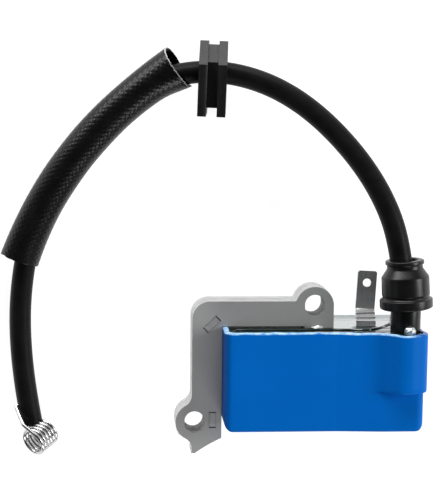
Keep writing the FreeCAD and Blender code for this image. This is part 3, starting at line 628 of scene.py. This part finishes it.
def leg_spring():
    """Coil that grips the plug, with a leg bent round and pushed into the lead's side."""
    total = int(SPRING_TURNS * SPRING_STEPS)
    points = [coil_point(total - i) for i in range(total + 1)]
    heading = (points[-1] - points[-2]).normalized()
    points.append(points[-1] + heading * SPRING_RUN_OUT)
    first, second, third = SPRING_LEG
    for a, b, c in ((points[-1], first, second), (first, second, third)):
        points += [b + (a - b).normalized() * SPRING_BEND, b, b + (c - b).normalized() * SPRING_BEND]
    points.append(third)
    spring = curve_piece("plug_spring", [points], WIRE_R, SPRING,
                         order=4, bevel_resolution=6, resolution=6)
    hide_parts("leg_spring")
    return spring


spring_piece = leg_spring()


# -------- heat sleeve

SLEEVE_CENTRE = Vector((18.07, -8.68, 6.87))
SLEEVE_NORMAL = Vector((-0.0304, -0.0340, 1.0)).normalized()
SLEEVE_ARC_R = 91.48
SLEEVE_START = math.radians(121.94)
SLEEVE_END = math.radians(160.44)
SLEEVE_HALF_WIDTH = 4.42
SLEEVE_HALF_HEIGHT = 4.50
SLEEVE_WALL = 0.26
YARN_HEIGHT = 0.06
LIP_PUSH = 1.05
SLEEVE_STEPS_PER_CELL = 5
SLEEVE_CUT_STEPS = 3


def sleeve_point(angle):
    """A point of the sleeve's bent axis, with its tangent and outward directions."""
    flat = Vector((math.cos(angle), math.sin(angle), 0))
    out = (flat - SLEEVE_NORMAL * flat.dot(SLEEVE_NORMAL)).normalized()
    return SLEEVE_CENTRE + out * SLEEVE_ARC_R, SLEEVE_NORMAL.cross(out), out


def sleeve_section(t):
    """Half width across the arc, half height, at a share t of the length from the mouth."""
    mouth = math.exp(-t / 0.10)
    foot = math.exp(-(1 - t) / 0.16)
    across = SLEEVE_HALF_WIDTH + 0.55 * mouth + 0.32 * foot
    high = SLEEVE_HALF_HEIGHT + 0.15 * mouth + 0.15 * foot
    return across, high


def cut_slant(t, phi):
    """Shift along the sleeve near its ends: a leaning, ragged cut at the mouth, a rough foot."""
    near_mouth = max(0.0, 1 - t / 0.06)
    lean = 0.85 * math.sin(phi) + 0.15 * math.sin(2 * phi)
    ragged = 0.10 * noise.noise(Vector((math.cos(phi) * 9, math.sin(phi) * 9, 1.7)))
    lip = -0.4 * math.exp(-(math.remainder(phi - math.pi, 2 * math.pi) / 0.25) ** 2)
    near_foot = max(0.0, 1 - (1 - t) / 0.03)
    foot = 0.25 * noise.noise(Vector((math.cos(phi) * 2.5, math.sin(phi) * 2.5, 6.1)))
    return near_mouth * (lean + ragged + lip) + near_foot * foot


def sleeve_growth(t, share, inset):
    """How far the skin stands out from the section. Inset is 0 outside the wall and 1 inside."""
    phi = 2 * math.pi * share
    u, v = t * SLEEVE_CELLS_LONG, share * SLEEVE_CELLS_ROUND
    hump = abs(math.sin(0.5 * math.pi * (u + v)) * math.sin(0.5 * math.pi * (u - v))) ** 0.7
    slack = 0.09 * noise.noise(Vector((t * 6.0, math.cos(phi) * 1.3, math.sin(phi) * 1.3)))
    lip = LIP_PUSH * math.exp(-(t / 0.08) ** 2) * max(0.0, -math.cos(phi)) ** 1.5
    return slack - inset * SLEEVE_WALL + YARN_HEIGHT * hump * (1 - inset) + lip


def sleeve_ring(t, inset, count):
    """Points round the sleeve at a share t of its length."""
    centre, tangent, out = sleeve_point(SLEEVE_START + (SLEEVE_END - SLEEVE_START) * t)
    across, high = sleeve_section(t)
    ring = []
    for j in range(count):
        share = j / count
        phi = 2 * math.pi * share
        grow = sleeve_growth(t, share, inset)
        point = (centre + out * math.cos(phi) * (across + grow)
                 + SLEEVE_NORMAL * math.sin(phi) * (high + grow))
        ring.append(point + tangent * cut_slant(t, phi))
    return ring


def sleeve_stations():
    """Share of the length and inset of each ring: down the outside, up the inside."""
    long_count = SLEEVE_CELLS_LONG * SLEEVE_STEPS_PER_CELL
    shares = [i / long_count for i in range(long_count + 1)]
    cut = [k / SLEEVE_CUT_STEPS for k in range(1, SLEEVE_CUT_STEPS)]
    stations = [(t, 0.0) for t in shares]
    stations += [(1.0, inset) for inset in cut]
    stations += [(t, 1.0) for t in reversed(shares[::SLEEVE_STEPS_PER_CELL])]
    stations += [(0.0, 1 - inset) for inset in cut]
    return stations


def heat_sleeve():
    """Woven tube, pale and frayed where it is cut at the mouth."""
    count = SLEEVE_CELLS_ROUND * SLEEVE_STEPS_PER_CELL
    stations = sleeve_stations()
    total = len(stations)
    verts = [tuple(p) for t, inset in stations for p in sleeve_ring(t, inset, count)]
    faces, uvs, kinds = [], [], []
    for i in range(total):
        k = (i + 1) % total
        t0, t1 = stations[i][0], stations[k][0]
        mouth_cut = t0 == t1 == 0.0
        for j in range(count):
            m = (j + 1) % count
            faces.append((i * count + j, i * count + m, k * count + m, k * count + j))
            v0, v1 = j / count, (j + 1) / count
            uvs += [t0, v0, t0, v1, t1, v1, t1, v0]
            kinds.append(1 if i < 2 or mouth_cut else 0)
    sleeve = mesh_piece("woven_heat_sleeve", verts, faces, [WEAVE, FRAY], body="sleeve")
    layer = sleeve.data.uv_layers.new(name="cells")
    layer.data.foreach_set("uv", uvs)
    sleeve.data.polygons.foreach_set("material_index", kinds)
    sleeve.data.update()
    fix_normals(sleeve)
    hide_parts("heat_sleeve")
    return sleeve


sleeve_piece = heat_sleeve()


# -------- laminated core

LOWER_LUG = (-25.95, -16.4)
UPPER_LUG = (2.85, 12.04)
LUG_R = 4.6
SLOT_WIDTH = 4.8
SLOT_LENGTH = 5.3
SHEET = 0.5
SHEETS = 15
CORE_BACK = 8.25
CORE_FRONT = CORE_BACK + SHEETS * SHEET
SHEET_GAP = 0.02
SHEET_SLIP = 0.035
BAR_BOTTOM = 7.05
OUTER_LEG_RIGHT = -19.4
INNER_LEG = (0.45, 7.45)
# The circle that the pole faces are cut to, as its centre and radius
FLYWHEEL = (-3.67, -54.99, 38.0)


def arc(centre, radius, start, end, steps):
    """Points of an arc from start to end, in degrees."""
    angles = [math.radians(start + (end - start) * i / steps) for i in range(steps + 1)]
    return [(centre[0] + radius * math.cos(a), centre[1] + radius * math.sin(a)) for a in angles]


def on_flywheel(x0, x1):
    """Pole face between two places across, on the flywheel's circle."""
    cx, cy, r = FLYWHEEL
    steps = 12
    places = [x0 + (x1 - x0) * i / steps for i in range(steps + 1)]
    return [(x, cy + math.sqrt(r * r - (x - cx) ** 2)) for x in places]


def core_outline():
    """One sheet, from the outer leg's foot round the inside, over the bar and down the outside."""
    points = [(-26.75, -24.1)]
    points += on_flywheel(-25.8, OUTER_LEG_RIGHT)
    points += [(OUTER_LEG_RIGHT, BAR_BOTTOM), (INNER_LEG[0], BAR_BOTTOM)]
    points += on_flywheel(*INNER_LEG)
    points += arc(UPPER_LUG, LUG_R, 0, 159.3, 28)
    points += arc((-2.201, 13.95), 0.8, -20.7, -90, 6)
    points += arc((-22.35, 8.85), 4.3, 90, 180, 16)
    points += arc((-29.65, -9.761), 3.0, 0, -60.87, 12)
    points += arc(LOWER_LUG, LUG_R, 119.13, 242.2, 26)
    points += arc((-29.45, -23.033), 2.9, 62.2, -21.6, 14)[:-1]
    return points


def slot_outline(centre):
    """Slot for an M4 screw, a little longer than wide."""
    r, half = 0.5 * SLOT_WIDTH, 0.5 * (SLOT_LENGTH - SLOT_WIDTH)
    return (arc((centre[0], centre[1] + half), r, 0, 180, 20)
            + arc((centre[0], centre[1] - half), r, 180, 360, 20))


# Pressed marks that lock the sheets together, each as centre, length, width and angle
INTERLOCKS = [((-21.9, 7.55), 4.4, 1.8, 45.0), ((-21.6, -15.9), 4.0, 1.7, 90.0)]


def turned_to(centre, along, sideways, angle):
    """A place given along and across a mark that lies at an angle."""
    c, s = math.cos(math.radians(angle)), math.sin(math.radians(angle))
    return centre[0] + along * c - sideways * s, centre[1] + along * s + sideways * c


def interlock_outline(centre, length, width, angle):
    corners = [(-0.5 * length, -0.5 * width), (0.5 * length, -0.5 * width),
               (0.5 * length, 0.5 * width), (-0.5 * length, 0.5 * width)]
    return [turned_to(centre, along, sideways, angle) for along, sideways in corners]


def interlock_mark(number, centre, length, width, angle):
    """Body of a pressed mark: its middle lies just under the face, its ends slope up to it."""
    gap, slope = 0.30, 0.9
    shallow, deep, thickness = 0.04, 0.14, 0.75
    end = 0.5 * length - gap
    verts, faces = [], []
    for along, depth in [(-end, shallow), (slope - end, deep), (end - slope, deep), (end, shallow)]:
        for sideways in (-0.46 * width, 0.46 * width):
            for z in (CORE_FRONT - depth, CORE_FRONT - thickness):
                verts.append((*turned_to(centre, along, sideways, angle), z))
    for i in range(3):
        a, b = 4 * i, 4 * (i + 1)
        faces += [(a, b, b + 2, a + 2), (a + 1, a + 3, b + 3, b + 1),
                  (a, a + 1, b + 1, b), (a + 2, b + 2, b + 3, a + 3)]
    faces += [(0, 2, 3, 1), (12, 13, 15, 14)]
    mark = mesh_piece("interlock_mark_%d" % number, verts, faces, [FACE], smooth=False)
    fix_normals(mark)


def plate(outlines, thickness, edge):
    """One stamped sheet: flat faces, slightly rounded edges."""
    data = bpy.data.curves.new("sheet", "CURVE")
    data.dimensions = "2D"
    data.fill_mode = "BOTH"
    data.extrude = (0.5 * thickness - edge) * MM
    data.bevel_depth = edge * MM
    data.bevel_resolution = 1
    data.offset = -edge * MM
    for outline in outlines:
        spline = data.splines.new("POLY")
        spline.points.add(len(outline) - 1)
        for point, (x, y) in zip(spline.points, outline):
            point.co = (x * MM, y * MM, 0, 1)
        spline.use_cyclic_u = True
    holder = bpy.data.objects.new("sheet", data)
    mesh = bpy.data.meshes.new_from_object(holder)
    bpy.data.objects.remove(holder)
    return mesh


def stacked_sheets():
    """All the sheets, each slipped a little out of line except the front one."""
    outlines = [core_outline(), slot_outline(LOWER_LUG), slot_outline(UPPER_LUG)]
    marks = [interlock_outline(*mark) for mark in INTERLOCKS]
    full = plate(outlines, SHEET - SHEET_GAP, 0.05)
    marked = plate(outlines + marks, SHEET - SHEET_GAP, 0.04)
    bm = bmesh.new()
    for index in range(SHEETS):
        start = len(bm.verts)
        bm.from_mesh(marked if index in (0, SHEETS - 1) else full)
        bm.verts.ensure_lookup_table()
        shift = Vector((random.uniform(-SHEET_SLIP, SHEET_SLIP), random.uniform(-SHEET_SLIP, SHEET_SLIP),
                        CORE_BACK + (index + 0.5) * SHEET)) * MM
        if index == SHEETS - 1:
            shift.x = shift.y = 0.0
        bmesh.ops.translate(bm, verts=bm.verts[start:], vec=shift)
    mesh = bpy.data.meshes.new("core_laminations")
    bm.to_mesh(mesh)
    bm.free()
    return mesh


def laminated_core():
    mesh = stacked_sheets()
    for material in (FACE, EDGE, SLOT_WALL_SHADE):
        mesh.materials.append(material)
    for polygon in mesh.polygons:
        polygon.use_smooth = False
        if abs(polygon.normal.z) < 0.9:
            place = polygon.center / MM
            to_lug = min(math.dist((place.x, place.y), lug) for lug in (LOWER_LUG, UPPER_LUG))
            # Edges within reach of a lug are the slot walls, which take the painted shade.
            polygon.material_index = 2 if to_lug < 3.2 else 1
    core = link(bpy.data.objects.new("core_laminations", mesh))
    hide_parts("laminated_core")
    for number, mark in enumerate(INTERLOCKS, start=1):
        interlock_mark(number, *mark)


laminated_core()


# -------- case

TOWER_BOTTOM = -7.25
TOWER_BLEND = 1.7
WALL = 1.3
CORNER_R = 2.3
CORNER_EDGE_R = 0.55
RIM_ROUND_R = 0.38
RIM_WAVE = 0.16


def run(a, b):
    """Points from a up to, not including, b."""
    count = max(2, int(math.dist(a, b) / 0.6))
    return [(a[0] + (b[0] - a[0]) * i / count, a[1] + (b[1] - a[1]) * i / count) for i in range(count)]


def case_outline():
    """Rounded section in X and Z, anticlockwise from the back left."""
    left, right, front, raised = CASE["left"], CASE["right"], CASE["front"], CASE["raised"]
    foot, top = FRONT_RAMP
    back_r, front_r = 1.0, 2.0
    ease, drop = 1.05, 0.0744
    points = run((left + back_r, 0), (right - back_r, 0))
    points += arc((right - back_r, back_r), back_r, -90, 0, 8)[:-1]
    points += run((right, back_r), (right, raised - front_r))
    points += arc((right - front_r, raised - front_r), front_r, 0, 90, 14)[:-1]
    points += run((right - front_r, raised), (top + 1.0, raised))
    points += rounded([(top + 1.0, raised), (top, raised), (top - ease, raised - drop)], [2.0], 4)[:-1]
    points += run((top - ease, raised - drop), (foot + ease, front + drop))
    points += rounded([(foot + ease, front + drop), (foot, front), (foot - 1.0, front)], [2.0], 4)[:-1]
    points += run((foot - 1.0, front), (left + front_r, front))
    points += arc((left + front_r, front - front_r), front_r, 90, 180, 14)[:-1]
    points += run((left, front - front_r), (left, back_r))
    points += arc((left + back_r, back_r), back_r, 180, 270, 8)[:-1]
    clean = [points[0]]
    for p in points[1:]:
        if math.dist(p, clean[-1]) > 0.05:
            clean.append(p)
    return clean


def outward(points):
    """Outward normals at the points of a section."""
    result = []
    count = len(points)
    for i in range(count):
        ax, ay = points[i - 1]
        bx, by = points[(i + 1) % count]
        dx, dy = bx - ax, by - ay
        size = math.hypot(dx, dy)
        result.append((dy / size, -dx / size))
    return result


def reach_circle(point, normal, circle):
    """Distance from a point, along its normal, out to a circle's far side, or nought."""
    px, pz = point[0] - circle[0], point[1] - circle[1]
    b = px * normal[0] + pz * normal[1]
    c = px * px + pz * pz - circle[2] ** 2
    inside = b * b - c
    if inside <= 0:
        return 0.0
    return max(0.0, -b + math.sqrt(inside)) if c < 0 or b < 0 else 0.0


def offset(points, normals, amounts):
    """Each point of a section moved out along its normal by its own amount."""
    return [(p[0] + normal[0] * amount, p[1] + normal[1] * amount)
            for p, normal, amount in zip(points, normals, amounts)]


def with_tower(points, normals):
    """The section with the tower's bulge, its left side blended in with a hollow curve."""
    pushes = []
    for p, normal in zip(points, normals):
        push = max(reach_circle(p, normal, circle) for circle in (TOWER, SEAT))
        pushes.append(push if p[0] > 15.0 and p[1] > 14.0 else 0.0)
    count = len(points)
    spans = [math.dist(points[i - 1], points[(i + 1) % count]) for i in range(count)]
    blended = []
    for p in points:
        weights = [span * math.exp(-(math.dist(p, q) / TOWER_BLEND) ** 2)
                   for q, span in zip(points, spans)]
        blended.append(sum(w * push for w, push in zip(weights, pushes)) / sum(weights))
    return offset(points, normals, blended)


def at_height(section, y, wave=0.0):
    """A ring of the case from a section at a height, uneven by wave."""
    ring = []
    for x, z in section:
        lift = wave * noise.noise(Vector((x * 0.35, z * 0.35, 4.2)))
        ring.append((x, y + lift, z))
    return ring


def bottom_rings(base, normals):
    """Rounded corners of the closed bottom, up to the straight walls."""
    steps = 12
    rings = []
    for k in range(steps + 1):
        angle = 0.5 * math.pi * k / steps
        height = CORNER_R * (1 - math.cos(angle))
        inset_x = CORNER_R * (1 - math.sin(angle))
        left_over = max(0.0, CORNER_EDGE_R - height)
        inset_z = CORNER_EDGE_R - math.sqrt(max(0.0, CORNER_EDGE_R ** 2 - left_over ** 2))
        section = []
        for (x, z), normal in zip(base, normals):
            x = min(max(x, CASE["left"] + inset_x), CASE["right"] - inset_x)
            section.append((x, z - normal[1] * inset_z))
        rings.append(at_height(section, CASE["bottom"] + height))
    return rings


def tower_foot_rings(base, bulged):
    """The step from the plain section out to the one with the tower."""
    rings = []
    for share, rise in ((0.0, 0.0), (0.75, 0.02), (0.93, 0.14), (1.0, 0.4)):
        section = [(p[0] + (q[0] - p[0]) * share, p[1] + (q[1] - p[1]) * share)
                   for p, q in zip(base, bulged)]
        rings.append(at_height(section, TOWER_BOTTOM + rise))
    return rings


def rim_rings(inset):
    """Rounded top of the wall, from its outside over to its inside."""
    centre = CASE["rim"] - RIM_ROUND_R
    turns = [0.5 * math.pi * k / 4 for k in range(5)]
    path = [(RIM_ROUND_R * (1 - math.cos(a)), math.sin(a)) for a in turns]
    path += [(WALL - RIM_ROUND_R + RIM_ROUND_R * math.sin(a), math.cos(a)) for a in turns]
    return [at_height(inset(amount), centre + RIM_ROUND_R * rise, RIM_WAVE) for amount, rise in path]


def coil_case():
    """Closed skin: up the outside, over the rim, and down the inside."""
    base = case_outline()
    normals = outward(base)
    bulged = with_tower(base, normals)
    bulged_normals = outward(bulged)

    def inset(amount):
        return offset(bulged, bulged_normals, [-amount] * len(bulged))

    straight = np.linspace(CASE["bottom"] + CORNER_R + 0.6, TOWER_BOTTOM - 0.3, 8)
    beside_tower = np.linspace(TOWER_BOTTOM + 1.2, CASE["rim"] - 0.9, 9)
    rings = bottom_rings(base, normals)
    rings += [at_height(base, float(y)) for y in straight]
    rings += tower_foot_rings(base, bulged)
    rings += [at_height(bulged, float(y)) for y in beside_tower]
    first_rim_ring = len(rings)
    rings += rim_rings(inset)
    last_rim_ring = len(rings)
    lining = offset(base, normals, [-WALL] * len(base))
    rings.append(at_height(inset(WALL), CASE["rim"] - 2.2))
    rings.append(at_height(inset(WALL), TOWER_BOTTOM + WALL))
    rings.append(at_height(lining, TOWER_BOTTOM + WALL - 0.05))
    rings.append(at_height(lining, CASE["bottom"] + WALL))
    verts, faces = loft(rings)
    case = mesh_piece("coil_case_shell", verts, faces, [BLUE, RIM])
    for polygon in case.data.polygons:
        if first_rim_ring <= polygon.index // len(base) < last_rim_ring:
            polygon.material_index = 1
    fix_normals(case)
    sharp_by_angle(case, 40)
    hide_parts("coil_case")


coil_case()


# -------- resin surface

RESIN_BACK = 0.25
RESIN_LEVEL = 6.42
RESIN_UNDERSIDE = 5.2
RESIN_COLUMNS = 300
RESIN_ROWS = 130
POUR_STEP = 0.62
RESIN_LEFT = CASE["left"] + 0.6
RESIN_RIGHT = CASE["right"] - 0.3
# Rectangles across and in depth that stand in the resin
INNER_LEG_FOOT = (*INNER_LEG, CORE_BACK, CORE_FRONT)
TERMINAL_FOOT = (13.1, 17.6, 14.6, 15.4)
RESIN_CREST = [(-16.5, 18.6), (-12.0, 18.9), (-6.0, 18.3), (0.0, 18.7), (7.1, 18.1), (9.5, 18.6),
               (12.3, 18.8), (14.4, 18.7), (16.2, 18.3), (18.1, 16.8), (19.7, 14.7), (21.2, 12.5),
               (22.4, 10.6)]


def pour_step(x, z):
    """Share of the step down, to the front, from the second pour of resin to the first."""
    edge = float(np.interp(x, [p[0] for p in RESIN_RIDGE], [p[1] for p in RESIN_RIDGE]))
    down = min(max((z - edge) / 2.0, 0.0), 1.0)
    fade = min(max((x - RESIN_RIDGE[0][0]) / 3.0, 0.0), 1.0)
    return fade * down * down * (3 - 2 * down)


def resin_front(x):
    """Depth at which the resin meets the case's front wall or the tower."""
    foot, top = FRONT_RAMP
    z = CASE["front"] - 0.7 + 0.8 * min(max((x - foot) / (top - foot), 0.0), 1.0)
    tower_x, tower_z, tower_r = TOWER
    inner_r = tower_r - 0.7
    if abs(x - tower_x) < inner_r:
        z = max(z, tower_z + math.sqrt(inner_r ** 2 - (x - tower_x) ** 2))
    return z


def beside(x, z, rectangle):
    """Distance from a place out to a rectangle."""
    x0, x1, z0, z1 = rectangle
    return math.hypot(max(x0 - x, 0, x - x1), max(z0 - z, 0, z - z1))


def resin_height(x, z, front):
    """Height of the resin, which climbs the walls and everything that stands in it."""
    wall = min(x - RESIN_LEFT - 0.7, front - 0.6 - z)
    if x < RESIN_RIGHT - 0.9:
        wall = min(wall, RESIN_RIGHT - 1.0 - x)
    lift = 0.42 * math.exp(-max(wall, 0.0) / 0.9)
    lift += 0.25 * math.exp(-beside(x, z, INNER_LEG_FOOT) / 0.5)
    lift += 0.55 * math.exp(-(beside(x, z, TERMINAL_FOOT) / 1.3) ** 2)
    lift += 0.45 * math.exp(-max(math.hypot(x - SEAT[0], z - SEAT[1]) - 3.6, 0.0) / 0.9)
    wave = 0.10 * noise.noise(Vector((x * 0.16, z * 0.22, 1.0)))
    wave += 0.03 * noise.noise(Vector((x * 0.6, z * 0.6, 5.0)))
    wave -= POUR_STEP * pour_step(x, z)
    back_climb = 0.62 * math.exp(-max(z - 1.3, 0.0) / 3.5)
    return RESIN_LEVEL + min(lift, 0.60) + back_climb + wave * min(1.0, z / 2.0)


def resin_surface():
    """Slab of cured resin with a shaped top, and the thin skin and crest that lie on it."""
    verts, faces = [], []
    for i in range(RESIN_COLUMNS + 1):
        x = RESIN_LEFT + (RESIN_RIGHT - RESIN_LEFT) * i / RESIN_COLUMNS
        front = resin_front(x)
        for j in range(RESIN_ROWS + 1):
            z = RESIN_BACK + (front - RESIN_BACK) * j / RESIN_ROWS
            verts.append((x, resin_height(x, z, front), z))
    top = len(verts)
    verts += [(x, RESIN_UNDERSIDE, z) for x, _, z in verts[:top]]
    step = RESIN_ROWS + 1
    for i in range(RESIN_COLUMNS):
        for j in range(RESIN_ROWS):
            a = i * step + j
            faces.append((a, a + 1, a + step + 1, a + step))
            faces.append((top + a, top + a + step, top + a + step + 1, top + a + 1))
    last = RESIN_COLUMNS * step
    border = ([(i * step, (i + 1) * step) for i in range(RESIN_COLUMNS)]
              + [((i + 1) * step + RESIN_ROWS, i * step + RESIN_ROWS) for i in range(RESIN_COLUMNS)]
              + [(j + 1, j) for j in range(RESIN_ROWS)]
              + [(last + j, last + j + 1) for j in range(RESIN_ROWS)])
    for a, b in border:
        faces.append((a, b, top + b, top + a))
    surface = mesh_piece("resin_surface", verts, faces, [RESIN])
    fix_normals(surface)
    skin = []
    for i in range(61):
        x = 0.5 + 18.0 * i / 60
        skin.append((x, 6.86 + 0.05 * noise.noise(Vector((x * 0.7, 0, 3))), resin_front(x) - 0.52))
    curve_piece("resin_skin", [skin], 0.13, RESIN_FLASH,
                order=3, bevel_resolution=3, resolution=2)
    crest = [(x, 6.60 + 0.06 * noise.noise(Vector((x * 0.5, 1, 8))), z) for x, z in RESIN_CREST]
    curve_piece("resin_crest", [crest], 0.40, RESIN,
                order=3, bevel_resolution=6, resolution=8)


resin_surface()


# -------- boot and solder

# Radius and distance along the boot and its stem. The rounding lists hold a radius for each
# corner, which leaves out the two ends.
BOOT_PROFILE = [
    (2.6, 2.3), (3.4, 2.3), (5.9, 2.5), (6.32, 2.75), (6.32, 4.75), (5.8, 4.95), (5.55, 5.25),
    (5.72, 5.9), (5.66, 10.1), (5.1, 10.9), (4.28, 12.1), (4.22, 13.0), (4.6, 13.15), (4.6, 13.95),
    (4.25, 14.1), (3.2, 14.1), (2.9, 13.4), (2.62, 13.2),
]
BOOT_ROUNDING = [0.2, 0.3, 0.25, 0.35, 0.4, 0.3, 0.5, 0.9, 0.8, 0.8, 0.3, 0.2, 0.25, 0.2, 0.3, 0.3]
STEM_PROFILE = [(2.7, 4.9), (3.6, 4.9), (3.58, 9.5), (3.6, 12.4), (2.7, 12.9)]
STEM_ROUNDING = [0.2, 2.0, 0.6]
BOOT_TILT = math.radians(3.7)


def boot():
    """Flange, body, shoulder and ring in one turned piece, on a stem that stands in the resin."""
    direction = (-math.sin(BOOT_TILT), math.cos(BOOT_TILT), 0)
    upper = lathe("boot_body", rounded(BOOT_PROFILE, BOOT_ROUNDING), (24.4, 9.75, 20.0), direction,
                  BOOT_RUBBER, segments=128, wobble=0.05)
    lathe("boot_stem", rounded(STEM_PROFILE, STEM_ROUNDING, 4), (24.1, 0.0, 20.0), (0, 1, 0),
          BOOT_RUBBER, segments=96, wobble=0.04)
    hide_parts("strain_relief_boot")


boot()


def solder(name, centre, size, seed, rough):
    """A bead of solder, a ball stretched to size and made uneven."""
    bm = bmesh.new()
    bmesh.ops.create_icosphere(bm, subdivisions=5, radius=1.0)
    for vert in bm.verts:
        out = vert.co.normalized()
        bulge = 1 + rough * noise.noise(out * 1.6 + Vector((seed, 0, 0)))
        bulge += 0.3 * rough * noise.noise(out * 5 + Vector((0, seed, 0)))
        vert.co = Vector((out.x * size[0], out.y * size[1], out.z * size[2])) * bulge * MM
        vert.co += Vector(centre) * MM
    mesh = bpy.data.meshes.new(name)
    bm.to_mesh(mesh)
    bm.free()
    for polygon in mesh.polygons:
        polygon.use_smooth = True
    mesh.materials.append(SOLDER)
    return link(bpy.data.objects.new(name, mesh))


bead = solder("solder_bead", (24.2, 7.3, 25.15), (1.45, 1.4, 1.4), seed=3.0, rough=0.12)
solder("solder_joint", (3.4, 6.75, 17.1), (1.5, 0.72, 0.8), seed=8.0, rough=0.3)
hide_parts("solder_joints")


# -------- floor and light

FLOOR_HALF = 3000.0
FLOOR_DROP = 0.2


def floor():
    """Pale paper that glows, so that it stays plain behind the part."""
    n = Nodes("floor_paper")
    grain = n.noise(900, 3)
    color = n.ramp(grain, [(0.3, (0.40, 0.40, 0.40)), (0.7, (0.44, 0.44, 0.44))])
    material = n.finish(color, 0.9, Emission_Color=(1, 1, 1, 1), Emission_Strength=0.87,
                        Specular_IOR_Level=0.0)
    half, z = FLOOR_HALF * MM, -FLOOR_DROP * MM
    corners = [(-half, -half, z), (half, -half, z), (half, half, z), (-half, half, z)]
    mesh = bpy.data.meshes.new("floor")
    mesh.from_pydata(corners, [], [(0, 1, 2, 3)])
    mesh.materials.append(material)
    plane = bpy.data.objects.new("floor", mesh)
    scene.collection.objects.link(plane)


floor()


# Each light's name, place in metres, width, height and power in watts
LIGHTS = [
    ("key_back", (-0.30, 0.92, 0.26), 1.3, 0.34, 12.0),
    ("fill_right", (0.95, 0.15, 0.58), 0.6, 0.4, 7.0),
    ("fill_front", (0.25, -0.95, 0.58), 0.6, 0.4, 5.6),
    ("fill_left", (-1.00, -0.20, 0.60), 0.6, 0.4, 0.3),
]
MIDDLE = Vector((-0.02, 0.025, 0.01))


def softbox(name, place, width, height, power):
    """A rectangular light turned to the middle of the part."""
    data = bpy.data.lights.new(name, "AREA")
    data.shape = "RECTANGLE"
    data.size = width
    data.size_y = height
    data.energy = power
    lamp = bpy.data.objects.new(name, data)
    lamp.location = place
    lamp.rotation_euler = (MIDDLE - Vector(place)).to_track_quat("-Z", "Y").to_euler()
    scene.collection.objects.link(lamp)


for light in LIGHTS:
    softbox(*light)


def dim_world():
    """Faint even light from all round."""
    world = bpy.data.worlds.new("studio")
    scene.world = world
    world.use_nodes = True
    background = world.node_tree.nodes["Background"]
    background.inputs["Color"].default_value = (1, 1, 1, 1)
    background.inputs["Strength"].default_value = 0.04


dim_world()
